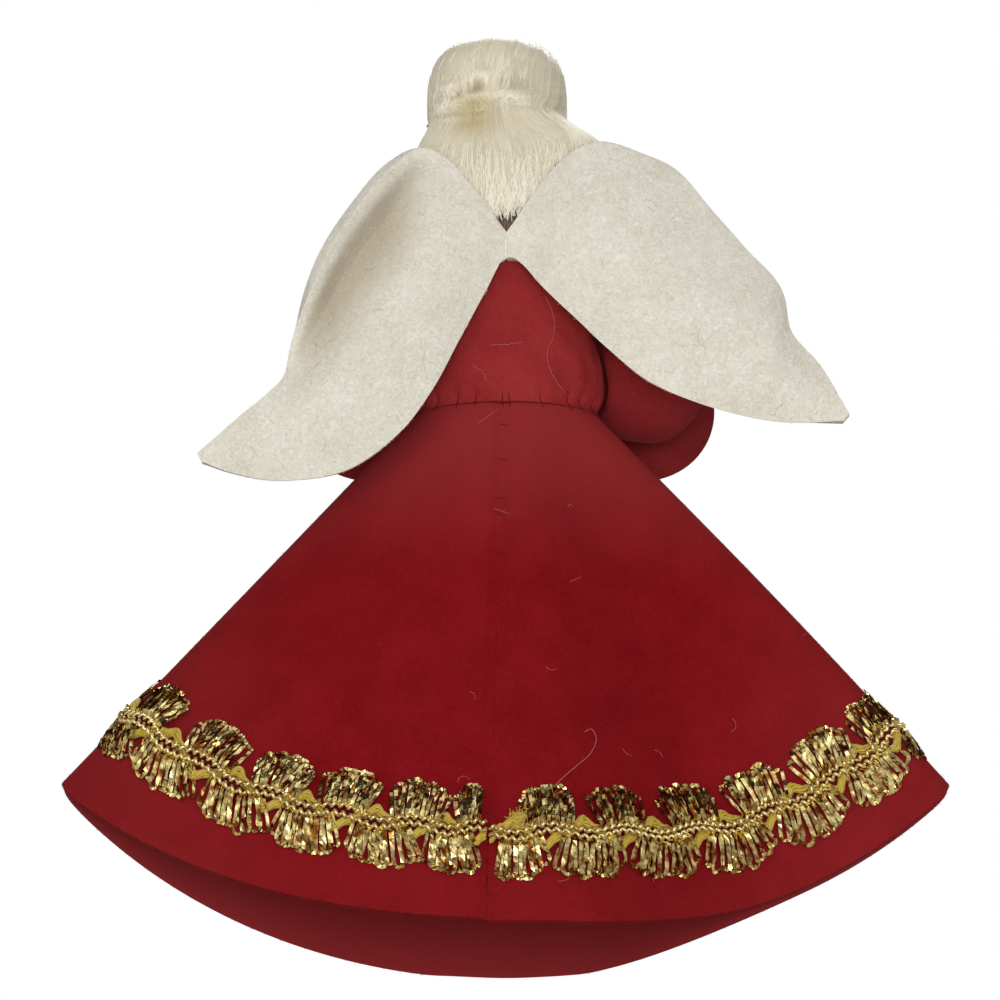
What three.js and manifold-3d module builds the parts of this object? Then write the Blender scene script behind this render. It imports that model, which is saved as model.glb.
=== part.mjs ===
// Felt angel figurine that stands on the hem of a rolled felt skirt.
// Millimetres, +Z up. The figure faces -Y, its wings are on the +Y side, and it stands on Z = 0.
import * as THREE from 'three';
import { mergeVertices } from 'three/addons/utils/BufferGeometryUtils.js';
import Module from 'manifold-3d';

const wasm = await Module();
wasm.setup();

// Clearances and stock
const FIT_GAP = 0.3;
const RED_FELT = 1.2;
const WHITE_FELT = 1.8;

// Skirt: a half disc of red felt rolled into a flattened cone and lapped at the back
const SKIRT_SLANT = 88.8;
const HEM_HALF_WIDTH = 59.1;
const HEM_HALF_DEPTH = 19;
const HEM_SIDE_SHORTENING = 1.15;
const HEM_FLAT_CUT = 0.5;
const HEM_CORNER_POWER = 1.3;
const WAIST_HALF_WIDTH = 12.4;
const WAIST_HALF_DEPTH = 8.4;
const WAIST_Z = 71.8;
// The lap, in degrees round the waist: the edges and the turn in which the inner flap steps inward
const LAP_OUTER_END = 87;
const LAP_INNER_END = 97;
const LAP_RAMP_START = 75;
const LAP_RAMP_END = 86;
const LAP_GAP = 0.4;
// Its right side is pressed flat, from and to these distances from the middle, until the two layers all but touch
const PRESSED_FROM = 6;
const PRESSED_TO = 40;
const PRESSED_HALF_DEPTH = 1.9;
const SKIRT_COLUMNS = 96;
const SKIRT_ROWS = 5;

// Gold braid round the hem; its ends stop short of the lapped edge by these degrees
const BRAID_WIDTH = 12;
const BRAID_ABOVE_HEM = 12.2;
const BRAID_DROP_AT_PRESSED_SIDE = 1.4;
const BRAID_THICKNESS = 0.9;
const BRAID_SCALLOPS = 25;
const BRAID_START_INSET = 1.5;
const BRAID_END_INSET = 0.6;
const SCALLOP_DEPTH = 1.5;
const CORD_WIDTH = 2.6;
const CORD_HEIGHT = 1;
const CORD_WAVE = 1.2;

// Bodice and what fills it; its heights are above the seat on the skirt's waist
const BODICE_TUCK = 4.3;
const TUCK_HALF_WIDTH = 9.2;
const BODICE_SEAT_GAP = 0.35;
const BODICE_HEIGHT = 30.15;
const NECK_HALF_WIDTH = 5.4;
const FILLING_CROWN = 0.5;
const WAIST_DEPTH_RATIO = 0.56;
const BODICE_DEPTH_RATIO = 0.7;
const NECK_DEPTH_RATIO = 0.92;
const DEPTH_SWELL_START = -0.5;
const DEPTH_SWELL_END = 2;
const DEPTH_ROUNDING_START = 6;
const ROUND_SIDES = 24;
// Half width of the bodice, and height
const BODICE_SIDE = [
  [12, 0.1], [13.3, 2.2], [13, 5.5], [11.6, 11], [10, 17], [8.8, 22.35], [7.6, 25.35],
];

// Neck peg and head
const PEG_DIAMETER = 4;
const PEG_FOOT_RISE = 11.85;
const HEAD_DIAMETER = 16;
const HEAD_HEIGHT = 19;
const HEAD_X = 1.2;
const HEAD_NECK_GAP = 1.8;
const HEAD_BORE_DEPTH = 12;

// Hair: a cap over the crown and a fall behind the neck, parted by a tacked crease; its heights are
// from the middle of the head
const CAP_HALF_WIDTH = 9.4;
const CAP_HALF_DEPTH = 9.6;
const CAP_HEIGHT = 11.1;
const CAP_BOTTOM_RISE = 0.7;
const CAP_SQUARENESS = 2.7;
const CAP_STEPS = 10;
const FACE_TOP_RISE = 5.7;
const FACE_DEPTH_Y = 1.5;
const TACK_THREAD = 0.5;
const TACK_SWEEP = 92;
const TACK_RADIUS = 8.75;
const FALL_SWEEP = 112;
const FALL_THICKNESS = 1.25;
const FALL_SIDE_FLARE = 2.4;
const FALL_BACK_FLARE = 0.24;
const FALL_FLARE_END = 0.6;
const FALL_DROP = 16.6;
const FALL_SIDE_RISE = 7;
const FALL_EDGE_POWER = 1.2;
const FALL_COLUMNS = 24;
const FALL_ROWS = 6;

// Wings; their edges run from the web to the tip, as distance from the middle, distance behind the web and
// height above the foot of the web
const WING_GAP = 1;
const WING_ROOT_RISE = 18.25;
const WING_ROOT_HEIGHT = 4.2;
const RIGHT_WING_UPPER = [
  [4.6, 1.6, 10.2], [8.8, 2.4, 14.6], [13, 2.2, 16.6], [18.2, 1.4, 15.6], [22.4, 0.8, 13.2], [27, 0.4, 7.6],
  [31.6, 0, 2.2], [36, -0.6, -3], [37.6, -0.8, -8.4], [41.6, -1, -13.6], [45.4, -1.2, -20.4],
];
const RIGHT_WING_LOWER = [
  [5.2, 0.9, -3.4], [9.8, 1.4, -8.2], [13.8, 1.6, -12.6], [19, 1.4, -17.4], [27.2, 0.4, -20.4],
  [36.4, -0.6, -21.6], [45.2, -1.2, -21],
];
const RIGHT_WING_CROWN = 2.2;
const LEFT_WING_UPPER = [
  [4.4, 2.6, 9.6], [8, 3.6, 13.6], [11.4, 4.4, 15], [15.2, 5, 12.6], [20, 5.4, 6.8], [23.6, 5.2, 1.2],
  [26.2, 4.4, -4.4], [28.4, 3, -10], [29.6, 1.8, -16], [33, 0.8, -20.2], [40, -0.4, -26.4],
];
const LEFT_WING_LOWER = [
  [3.2, 0.8, -4], [6.8, 1.6, -11.4], [10.1, 2, -18], [14, 1.6, -23.4], [21.2, 0.6, -28.4], [30, 0, -29.4],
  [39.8, -0.4, -27],
];
const LEFT_WING_CROWN = 0.6;
const LEFT_WING_CURL = 2;
const WEB_HALF_WIDTH = 0.7;
const WING_COLUMNS = 24;
const WING_ROWS = 6;
// Shares of the wing's length: the root keeps square to the web, and the belly swells and dies away
const WING_ROOT_SHARE = 0.15;
const WING_SWELL = [0.02, 0.3];
const WING_TIP_FADE = [0.75, 1];
const STITCH_DIAMETER = 0.5;
const STITCH_LENGTH = 2.4;

// Arms: puffed sleeves that open into a cuff, with a mitten hand
const SHOULDER_X = 12.7;
const SHOULDER_RISE = 21.25;
// Middle of the sleeve from the shoulder pivot, and its radius, from the shoulder by the elbow to the cuff
const SLEEVE_STATIONS = [
  [0, 0, 1.4, 3.2], [1.4, -0.6, -2.4, 4.2], [4.75, -3, -7.4, 5.2],
  [6.7, -7, -14.8, 6.7], [6.2, -13.75, -14.6, 7.2], [5.7, -20.5, -14.4, 9.7],
];
const SLEEVE_CAP_RISE = 1.6;
const CUFF_RECESS = 3.5;
const WRIST_DIAMETER = 4.4;
const HAND_LENGTH = 11;
const HAND_WIDTH = 6.6;
const HAND_THICKNESS = 4;
const PALM_LENGTH = 8.8;
const PALM_REACH = 6.6;
const THUMB_SIZE = [2.4, 4.6, 2.2];
const THUMB_REACH = 5.7;
const THUMB_RISE = 3;
const SHOULDER_THREAD = 0.9;
const SLEEVE_SIDES = 16;
const SLEEVE_RINGS = 10;
const FILLING_FIRST_RING = 2;

function felt(color, roughness = 0.95) {
  return new THREE.MeshStandardMaterial({ color, roughness, metalness: 0 });
}
const redFelt = () => felt(0x9c0f14);
const whiteFelt = () => felt(0xe6e2dc);
const floss = () => felt(0xe4dcc4, 0.45);
const cotton = () => felt(0xeeeae2);
const skinFelt = () => felt(0xe8b796);
const wood = () => felt(0xd9b48a, 0.6);
const thread = (color) => felt(color, 0.7);
const gold = () => new THREE.MeshStandardMaterial({ color: 0xcf9f35, roughness: 0.3, metalness: 0.9 });
const goldCord = () => new THREE.MeshStandardMaterial({ color: 0xd8b428, roughness: 0.5, metalness: 0.3 });

const figure = new THREE.Group();

function place(name, geometry, material) {
  const mesh = new THREE.Mesh(geometry, material);
  mesh.name = name;
  figure.add(mesh);
}

// Solids from points, lofts and booleans
function facingOut(positions, triangles) {
  const at = (i) => new THREE.Vector3(...positions.slice(3 * i, 3 * i + 3));
  let volume = 0;
  for (let i = 0; i < triangles.length; i += 3) {
    const [a, b, c] = [at(triangles[i]), at(triangles[i + 1]), at(triangles[i + 2])];
    volume += a.dot(b.cross(c));
  }
  if (volume < 0) {
    triangles.reverse();
  }
  const geometry = new THREE.BufferGeometry();
  geometry.setAttribute('position', new THREE.Float32BufferAttribute(positions, 3));
  geometry.setIndex(triangles);
  geometry.computeVertexNormals();
  return geometry;
}

// A slab between two sheets of points, each a function of u and v from 0 to 1
function slab(columns, rows, front, back) {
  const positions = [];
  const triangles = [];
  const index = (side, i, j) => (side * (columns + 1) + i) * (rows + 1) + j;
  for (const sheet of [front, back]) {
    for (let i = 0; i <= columns; i++) {
      for (let j = 0; j <= rows; j++) {
        positions.push(...sheet(i / columns, j / rows).toArray());
      }
    }
  }
  const quad = (a, b, c, d) => triangles.push(a, b, c, a, c, d);
  for (let i = 0; i < columns; i++) {
    for (let j = 0; j < rows; j++) {
      quad(index(0, i, j), index(0, i + 1, j), index(0, i + 1, j + 1), index(0, i, j + 1));
      quad(index(1, i, j), index(1, i, j + 1), index(1, i + 1, j + 1), index(1, i + 1, j));
    }
    quad(index(0, i, 0), index(1, i, 0), index(1, i + 1, 0), index(0, i + 1, 0));
    quad(index(0, i, rows), index(0, i + 1, rows), index(1, i + 1, rows), index(1, i, rows));
  }
  for (let j = 0; j < rows; j++) {
    quad(index(0, 0, j), index(0, 0, j + 1), index(1, 0, j + 1), index(1, 0, j));
    quad(index(0, columns, j), index(1, columns, j), index(1, columns, j + 1), index(0, columns, j + 1));
  }
  return facingOut(positions, triangles);
}

// A closed skin over a run of rings, drawn to a point at both ends
function skin(startPole, rings, endPole) {
  const sides = rings[0].length;
  const points = [startPole, ...rings.flat(), endPole];
  const last = points.length - 1;
  const index = (ring, k) => 1 + ring * sides + (k % sides);
  const triangles = [];
  for (let k = 0; k < sides; k++) {
    triangles.push(0, index(0, k + 1), index(0, k));
    triangles.push(last, index(rings.length - 1, k), index(rings.length - 1, k + 1));
    for (let ring = 0; ring + 1 < rings.length; ring++) {
      triangles.push(index(ring, k), index(ring, k + 1), index(ring + 1, k + 1));
      triangles.push(index(ring, k), index(ring + 1, k + 1), index(ring + 1, k));
    }
  }
  return facingOut(points.flatMap((p) => p.toArray()), triangles);
}

function solidOf(geometry) {
  const bare = geometry.clone();
  bare.deleteAttribute('normal');
  bare.deleteAttribute('uv');
  const merged = mergeVertices(bare, 1e-4);
  return new wasm.Manifold(new wasm.Mesh({
    numProp: 3,
    vertProperties: new Float32Array(merged.attributes.position.array),
    triVerts: new Uint32Array(merged.index.array),
  }));
}

function geometryOf(solid) {
  const mesh = solid.getMesh();
  return facingOut(Array.from(mesh.vertProperties), Array.from(mesh.triVerts));
}

function rodAlong(axis, radius, length, sides = ROUND_SIDES) {
  const rod = new THREE.CylinderGeometry(radius, radius, length, sides);
  rod.applyQuaternion(new THREE.Quaternion().setFromUnitVectors(new THREE.Vector3(0, 1, 0), axis));
  return rod;
}

// A closed profile of radius and height, turned round Z and flattened front to back
function turned(profile, depthRatio) {
  const points = profile.map(([radius, z]) => new THREE.Vector2(radius, z));
  const lathe = new THREE.LatheGeometry(points, ROUND_SIDES);
  lathe.rotateX(Math.PI / 2);
  const position = lathe.attributes.position;
  for (let i = 0; i < position.count; i++) {
    position.setY(i, position.getY(i) * depthRatio(position.getZ(i)));
  }
  return geometryOf(solidOf(lathe));
}

// Heights that follow from the waist
const seatZ = WAIST_Z + BODICE_SEAT_GAP;
const neckZ = seatZ + BODICE_HEIGHT;
const pegFootZ = seatZ + PEG_FOOT_RISE;
const headZ = neckZ + HEAD_NECK_GAP + HEAD_HEIGHT / 2;
const capBottomZ = headZ + CAP_BOTTOM_RISE;
const shoulderZ = seatZ + SHOULDER_RISE;
const wingRootZ = seatZ + WING_ROOT_RISE;

const X_AXIS = new THREE.Vector3(1, 0, 0);
const Z_AXIS = new THREE.Vector3(0, 0, 1);
const smooth = (x, from, to) => THREE.MathUtils.smoothstep(x, from, to);

// Skirt surface: straight rulings from the oval waist to the pointed oval hem
const apexZ = Math.sqrt(SKIRT_SLANT ** 2 - HEM_HALF_DEPTH ** 2) - HEM_FLAT_CUT;
const lapStep = RED_FELT + LAP_GAP;

const pressedShare = (degrees) => smooth(
  -HEM_HALF_WIDTH * Math.cos(THREE.MathUtils.degToRad(degrees)), PRESSED_FROM, PRESSED_TO);

function skirtRuling(degrees) {
  const t = THREE.MathUtils.degToRad(degrees);
  const side = Math.cos(t);
  const back = Math.sign(Math.sin(t)) * Math.abs(Math.sin(t)) ** HEM_CORNER_POWER;
  const waist = new THREE.Vector3(WAIST_HALF_WIDTH * side, WAIST_HALF_DEPTH * Math.sin(t), WAIST_Z);
  const hem = new THREE.Vector3(HEM_HALF_WIDTH * side, HEM_HALF_DEPTH * back, 0);
  const slant = SKIRT_SLANT - HEM_SIDE_SHORTENING * side ** 4;
  hem.z = apexZ - Math.sqrt(slant ** 2 - hem.x ** 2 - hem.y ** 2);
  const flat = PRESSED_HALF_DEPTH * Math.tanh(hem.y / PRESSED_HALF_DEPTH);
  hem.y = THREE.MathUtils.lerp(hem.y, flat, pressedShare(degrees));
  return [waist, hem];
}

function skirtPoint(degrees, v, rise) {
  const step = 0.5;
  const [waist, hem] = skirtRuling(degrees);
  const [nextWaist, nextHem] = skirtRuling(degrees - step);
  const [lastWaist, lastHem] = skirtRuling(degrees + step);
  const along = nextWaist.lerp(nextHem, v).sub(lastWaist.lerp(lastHem, v));
  const down = hem.clone().sub(waist);
  const outward = along.cross(down).normalize();
  const lap = smooth(degrees, LAP_RAMP_START, LAP_RAMP_END);
  const point = waist.lerp(hem, v).addScaledVector(outward, rise - lap * lapStep);
  point.z = Math.max(point.z, 0);
  return point;
}

const skirtTurn = (u) => THREE.MathUtils.lerp(LAP_INNER_END, LAP_OUTER_END - 360, u);
const skirtLength = (degrees) => {
  const [waist, hem] = skirtRuling(degrees);
  return waist.distanceTo(hem);
};
place('skirt', slab(
  SKIRT_COLUMNS,
  SKIRT_ROWS,
  (u, v) => skirtPoint(skirtTurn(u), v, 0),
  (u, v) => skirtPoint(skirtTurn(u), v, -RED_FELT),
), redFelt());

// Braid: a scalloped ribbon that starts and ends at the lapped edge, and the wavy cord along it
const braidStart = LAP_OUTER_END - BRAID_START_INSET;
const braidEnd = LAP_OUTER_END + BRAID_END_INSET - 360;
const braidTurn = (u) => THREE.MathUtils.lerp(braidStart, braidEnd, u);
const scallop = (u, phase) => Math.abs(Math.cos(Math.PI * (u * BRAID_SCALLOPS + phase)));

function braidPoint(u, across, rise) {
  const degrees = braidTurn(u);
  const aboveHem = BRAID_ABOVE_HEM - BRAID_DROP_AT_PRESSED_SIDE * pressedShare(degrees);
  return skirtPoint(degrees, 1 - (aboveHem + across) / skirtLength(degrees), rise);
}

function ribbonEdge(u, v) {
  const upper = BRAID_WIDTH / 2 - SCALLOP_DEPTH * (1 - scallop(u, 0));
  const lower = BRAID_WIDTH / 2 - SCALLOP_DEPTH * (1 - scallop(u, 0.5));
  return THREE.MathUtils.lerp(upper, -lower, v);
}
const ribbonColumns = SKIRT_COLUMNS * 2;
place('hem_braid_ribbon', slab(
  ribbonColumns,
  1,
  (u, v) => braidPoint(u, ribbonEdge(u, v), FIT_GAP + BRAID_THICKNESS),
  (u, v) => braidPoint(u, ribbonEdge(u, v), FIT_GAP),
), gold());

const cordFoot = FIT_GAP + BRAID_THICKNESS + FIT_GAP;
function cordEdge(u, v) {
  const wave = CORD_WAVE * Math.cos(2 * Math.PI * u * BRAID_SCALLOPS);
  return wave + CORD_WIDTH * (0.5 - v);
}
place('hem_gimp_cord', slab(
  ribbonColumns,
  1,
  (u, v) => braidPoint(u, cordEdge(u, v), cordFoot + CORD_HEIGHT),
  (u, v) => braidPoint(u, cordEdge(u, v), cordFoot),
), goldCord());

// Bodice: a felt tube tucked into the skirt, full above the waist and drawn in at the neck
const tuckFoot = WAIST_Z - BODICE_TUCK;
function bodiceDepth(z) {
  const rise = z - seatZ;
  const swell = smooth(rise, DEPTH_SWELL_START, DEPTH_SWELL_END);
  const full = THREE.MathUtils.lerp(WAIST_DEPTH_RATIO, BODICE_DEPTH_RATIO, swell);
  return THREE.MathUtils.lerp(full, NECK_DEPTH_RATIO, smooth(rise, DEPTH_ROUNDING_START, BODICE_HEIGHT));
}
const bodiceOutside = [
  [TUCK_HALF_WIDTH, tuckFoot],
  [TUCK_HALF_WIDTH, seatZ],
  ...BODICE_SIDE.map(([halfWidth, rise]) => [halfWidth, seatZ + rise]),
  [NECK_HALF_WIDTH, neckZ],
];
function bodiceRadius(z) {
  const above = bodiceOutside.findIndex((point) => point[1] > z);
  const [lowRadius, lowZ] = bodiceOutside[above - 1];
  const [highRadius, highZ] = bodiceOutside[above];
  return THREE.MathUtils.mapLinear(z, lowZ, highZ, lowRadius, highRadius);
}
const inset = (profile, radial, axial) => profile.map(([radius, z]) => [radius - radial, z + axial]);
const bodiceInside = inset(bodiceOutside.slice(1, -1), RED_FELT, RED_FELT);
bodiceInside.unshift([TUCK_HALF_WIDTH - RED_FELT, tuckFoot]);
bodiceInside.push([NECK_HALF_WIDTH - RED_FELT, neckZ]);
const bodiceWall = [...bodiceOutside, ...bodiceInside.reverse(), bodiceOutside[0]];

const threadAxisLength = 2 * SHOULDER_X;
const shoulderHole = solidOf(rodAlong(X_AXIS, SHOULDER_THREAD / 2 + FIT_GAP, threadAxisLength, 12)
  .translate(0, 0, shoulderZ));
place('bodice', geometryOf(solidOf(turned(bodiceWall, bodiceDepth)).subtract(shoulderHole)), redFelt());

// Filling: cotton packed inside the bodice round the foot of the neck peg
const fillingSide = inset(bodiceOutside.slice(1, -2), RED_FELT + FIT_GAP, RED_FELT + FIT_GAP);
const fillingTopZ = fillingSide.at(-1)[1] + FILLING_CROWN;
const fillingProfile = [
  [0, tuckFoot],
  [TUCK_HALF_WIDTH - RED_FELT - FIT_GAP, tuckFoot],
  ...fillingSide,
  [0, fillingTopZ],
];
const pegBore = solidOf(rodAlong(Z_AXIS, PEG_DIAMETER / 2 + FIT_GAP, headZ - pegFootZ)
  .translate(HEAD_X, 0, (headZ + pegFootZ) / 2 - FIT_GAP));
place('torso_filling', geometryOf(
  solidOf(turned(fillingProfile, bodiceDepth)).subtract(pegBore).subtract(shoulderHole),
), cotton());

// Neck peg and the drilled head bead that sits on it
const boreTop = headZ - HEAD_HEIGHT / 2 + HEAD_BORE_DEPTH;
const pegTop = boreTop - FIT_GAP;
place('neck_peg', rodAlong(Z_AXIS, PEG_DIAMETER / 2, pegTop - pegFootZ)
  .translate(HEAD_X, 0, (pegTop + pegFootZ) / 2), wood());

const headBore = solidOf(rodAlong(Z_AXIS, PEG_DIAMETER / 2 + FIT_GAP, HEAD_HEIGHT)
  .translate(HEAD_X, 0, boreTop - HEAD_HEIGHT / 2));
function headEgg(clearance) {
  const ball = new THREE.SphereGeometry(1, ROUND_SIDES, 14);
  const radius = HEAD_DIAMETER / 2 + clearance;
  ball.rotateX(Math.PI / 2);
  ball.scale(radius, radius, HEAD_HEIGHT / 2 + clearance);
  return solidOf(ball.translate(HEAD_X, 0, headZ));
}
place('head_bead', geometryOf(headEgg(0).subtract(headBore)), skinFelt());

// Hair cap: a squared dome of floss, open at the face
const capProfile = [[0, headZ + CAP_HEIGHT]];
for (let k = 1; k <= CAP_STEPS; k++) {
  const angle = (Math.PI / 2) * (k / CAP_STEPS);
  const round = 2 / CAP_SQUARENESS;
  const rise = CAP_HEIGHT * Math.cos(angle) ** round;
  capProfile.push([CAP_HALF_WIDTH * Math.sin(angle) ** round, headZ + rise]);
}
capProfile[CAP_STEPS][1] = capBottomZ;
capProfile.push([0, capBottomZ]);
const capDepth = CAP_HALF_DEPTH / CAP_HALF_WIDTH;
const capDome = solidOf(turned(capProfile, () => capDepth).translate(HEAD_X, 0, 0));
const headRoom = headEgg(FIT_GAP);
const faceReach = 3 * CAP_HALF_DEPTH;
const faceRoom = solidOf(new THREE.BoxGeometry(faceReach, faceReach, faceReach)
  .translate(HEAD_X, -FACE_DEPTH_Y - faceReach / 2, headZ + FACE_TOP_RISE - faceReach / 2));
const capShell = capDome.subtract(headRoom).subtract(faceRoom).subtract(pegBore);
place('hair_cap', geometryOf(capShell), floss());

// Crease thread: laid round the back of the head between the cap and the fall
const creaseZ = capBottomZ - FIT_GAP - TACK_THREAD / 2;
const creasePoints = [];
for (let k = -8; k <= 8; k++) {
  const angle = THREE.MathUtils.degToRad(TACK_SWEEP * k / 8);
  const x = HEAD_X + TACK_RADIUS * Math.sin(angle);
  creasePoints.push(new THREE.Vector3(x, TACK_RADIUS * Math.cos(angle), creaseZ));
}
const tackSection = new THREE.Shape();
for (let k = 0; k < 6; k++) {
  const corner = new THREE.Vector2(TACK_THREAD / 2, 0).rotateAround(new THREE.Vector2(), Math.PI * k / 3);
  if (k === 0) {
    tackSection.moveTo(corner.x, corner.y);
  } else {
    tackSection.lineTo(corner.x, corner.y);
  }
}
place('hair_tack_thread', new THREE.ExtrudeGeometry(tackSection, {
  steps: 24,
  extrudePath: new THREE.CatmullRomCurve3(creasePoints),
}), thread(0xcbb24a));

// Hair fall: a curtain round the back and sides of the head, longest in the middle
const fallTop = creaseZ - TACK_THREAD / 2 - FIT_GAP;
function fallPoint(u, v, depth) {
  const turn = 2 * u - 1;
  const angle = THREE.MathUtils.degToRad(FALL_SWEEP * turn);
  const foot = headZ - FALL_DROP + FALL_SIDE_RISE * Math.abs(turn) ** FALL_EDGE_POWER;
  const flare = smooth(v, 0, FALL_FLARE_END);
  const radius = HEAD_DIAMETER / 2 + FIT_GAP + FALL_THICKNESS - depth;
  return new THREE.Vector3(
    HEAD_X + (radius + FALL_SIDE_FLARE * flare) * Math.sin(angle),
    (radius + FALL_BACK_FLARE * flare) * Math.cos(angle),
    THREE.MathUtils.lerp(fallTop, foot, v),
  );
}
place('hair_fall', slab(
  FALL_COLUMNS,
  FALL_ROWS,
  (u, v) => fallPoint(u, v, 0),
  (u, v) => fallPoint(u, v, FALL_THICKNESS),
), floss());

// Wings: felt leaves sewn to the back at a narrow web, one laid flat and one with a curled edge
const rootZ = wingRootZ + WING_ROOT_HEIGHT / 2;
const bodiceBack = bodiceRadius(wingRootZ) * bodiceDepth(wingRootZ);
const rootY = bodiceBack + FIT_GAP + WHITE_FELT / 2;
function wingEdge(rootHeight, points) {
  const edge = [[WING_GAP, 0, rootHeight], ...points];
  return new THREE.CatmullRomCurve3(edge.map(([x, y, z]) => new THREE.Vector3(x, rootY + y, wingRootZ + z)));
}

const rightWing = {
  upper: wingEdge(WING_ROOT_HEIGHT, RIGHT_WING_UPPER),
  lower: wingEdge(0, RIGHT_WING_LOWER),
  crown: RIGHT_WING_CROWN,
  curl: 0,
};
const leftWing = {
  upper: wingEdge(WING_ROOT_HEIGHT, LEFT_WING_UPPER),
  lower: wingEdge(0, LEFT_WING_LOWER),
  crown: LEFT_WING_CROWN,
  curl: LEFT_WING_CURL,
};

function wingMiddle(wing, u, v) {
  const point = wing.upper.getPointAt(u).lerp(wing.lower.getPointAt(u), v);
  const swell = smooth(u, ...WING_SWELL) * (1 - smooth(u, ...WING_TIP_FADE));
  point.y += swell * (wing.crown * Math.sin(Math.PI * v) - wing.curl * Math.sin(2 * Math.PI * v));
  return point;
}

function wingSlab(wing, side) {
  const face = (rise) => (u, v) => {
    const step = 0.01;
    const clampedU = THREE.MathUtils.clamp(u, step, 1 - step);
    const along = wingMiddle(wing, clampedU + step, v).sub(wingMiddle(wing, clampedU - step, v));
    const across = wingMiddle(wing, u, v + step).sub(wingMiddle(wing, u, v - step));
    const outward = along.cross(across).normalize();
    outward.multiplyScalar(Math.sign(outward.y) * rise);
    outward.x *= smooth(u, 0, WING_ROOT_SHARE);
    const point = wingMiddle(wing, u, v).add(outward);
    point.x *= side;
    return point;
  };
  return slab(WING_COLUMNS, WING_ROWS, face(WHITE_FELT / 2), face(-WHITE_FELT / 2));
}
place('wing_right', wingSlab(rightWing, -1), whiteFelt());
place('wing_left', wingSlab(leftWing, 1), whiteFelt());

place('wing_centre_web', new THREE.BoxGeometry(2 * WEB_HALF_WIDTH, WHITE_FELT, WING_ROOT_HEIGHT)
  .translate(0, rootY, rootZ), whiteFelt());
const stitchY = rootY + WHITE_FELT / 2 + FIT_GAP + STITCH_DIAMETER / 2;
place('wing_tack_stitch', rodAlong(Z_AXIS, STITCH_DIAMETER / 2, STITCH_LENGTH, 8)
  .translate(0, stitchY, rootZ), thread(0xf2efe8));

// Arms: each a puffed sleeve on a shoulder thread, packed with cotton, with a mitten in the cuff
const sleeveCurve = (station) => new THREE.CatmullRomCurve3(SLEEVE_STATIONS.map(station));
const sleevePath = sleeveCurve(([x, y, z]) => new THREE.Vector3(SHOULDER_X + x, y, shoulderZ + z));
const sleeveRadius = sleeveCurve(([, , , radius]) => new THREE.Vector3(radius, 0, 0));

function sleeveRing(t, inward) {
  const centre = sleevePath.getPoint(t);
  const tangent = sleevePath.getTangent(t);
  const sideways = X_AXIS.clone().addScaledVector(tangent, -X_AXIS.dot(tangent)).normalize();
  const upward = tangent.clone().cross(sideways);
  const radius = sleeveRadius.getPoint(t).x - inward;
  return Array.from({ length: SLEEVE_SIDES }, (_, k) => {
    const angle = 2 * Math.PI * k / SLEEVE_SIDES;
    return centre.clone()
      .addScaledVector(sideways, radius * Math.cos(angle))
      .addScaledVector(upward, radius * Math.sin(angle));
  });
}
const sleeveCap = (t, reach) => sleevePath.getPoint(t).addScaledVector(sleevePath.getTangent(t), -reach);
const cuffFloor = sleevePath.getUtoTmapping(1 - CUFF_RECESS / sleevePath.getLength());
const sleeveTimes = Array.from({ length: SLEEVE_RINGS + 1 }, (_, i) => cuffFloor * i / SLEEVE_RINGS);
const fillingTimes = sleeveTimes.slice(FILLING_FIRST_RING);
sleeveTimes.push(1);
const sleeveRings = (times, inward) => times.map((t) => sleeveRing(t, inward));

function mitten() {
  const wrist = rodAlong(new THREE.Vector3(0, 1, 0), WRIST_DIAMETER / 2, HAND_LENGTH / 2, 12);
  wrist.translate(0, -HAND_LENGTH / 4, 0);
  const palm = new THREE.SphereGeometry(0.5, 12, 10);
  palm.scale(HAND_THICKNESS, PALM_LENGTH, HAND_WIDTH);
  palm.translate(0, -PALM_REACH, 0);
  const thumb = new THREE.SphereGeometry(0.5, 8, 6);
  thumb.scale(...THUMB_SIZE);
  thumb.translate(0, -THUMB_REACH, THUMB_RISE);
  return geometryOf(solidOf(wrist).add(solidOf(palm)).add(solidOf(thumb)));
}

function arm(sideName, side) {
  const shell = skin(
    sleeveCap(0, SLEEVE_CAP_RISE),
    [...sleeveRings(sleeveTimes, 0), ...sleeveRings(sleeveTimes, RED_FELT).reverse()],
    sleeveCap(0, SLEEVE_CAP_RISE - RED_FELT),
  );
  const eye = solidOf(rodAlong(X_AXIS, SHOULDER_THREAD / 2 + FIT_GAP, SHOULDER_X, 12)
    .translate(SHOULDER_X / 2, 0, shoulderZ));
  const packed = skin(
    sleeveCap(fillingTimes[0], 0),
    sleeveRings(fillingTimes, RED_FELT + FIT_GAP),
    sleevePath.getPoint(cuffFloor),
  );
  const cuffAxis = sleevePath.getTangent(1);
  const handTurn = new THREE.Quaternion().setFromUnitVectors(new THREE.Vector3(0, -1, 0), cuffAxis);
  const hand = mitten().applyQuaternion(handTurn);
  const seat = sleevePath.getPoint(cuffFloor).addScaledVector(cuffAxis, FIT_GAP);
  hand.translate(seat.x, seat.y, seat.z);
  const shankStart = bodiceRadius(shoulderZ) - RED_FELT;
  const shankLength = SHOULDER_X - shankStart;
  const shank = rodAlong(X_AXIS, SHOULDER_THREAD / 2, shankLength, 10);
  shank.translate(shankStart + shankLength / 2, 0, shoulderZ);
  const onSide = (geometry) => {
    const turnedOver = geometry.clone().scale(side, 1, 1);
    return facingOut(Array.from(turnedOver.attributes.position.array), Array.from(turnedOver.index.array));
  };
  place(`sleeve_${sideName}`, onSide(geometryOf(solidOf(shell).subtract(eye))), redFelt());
  place(`arm_filling_${sideName}`, onSide(packed), cotton());
  place(`hand_${sideName}`, onSide(hand), skinFelt());
  place(`shoulder_thread_${sideName}`, onSide(shank), thread(0x8c0d12));
}
arm('right', -1);
arm('left', 1);

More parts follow.
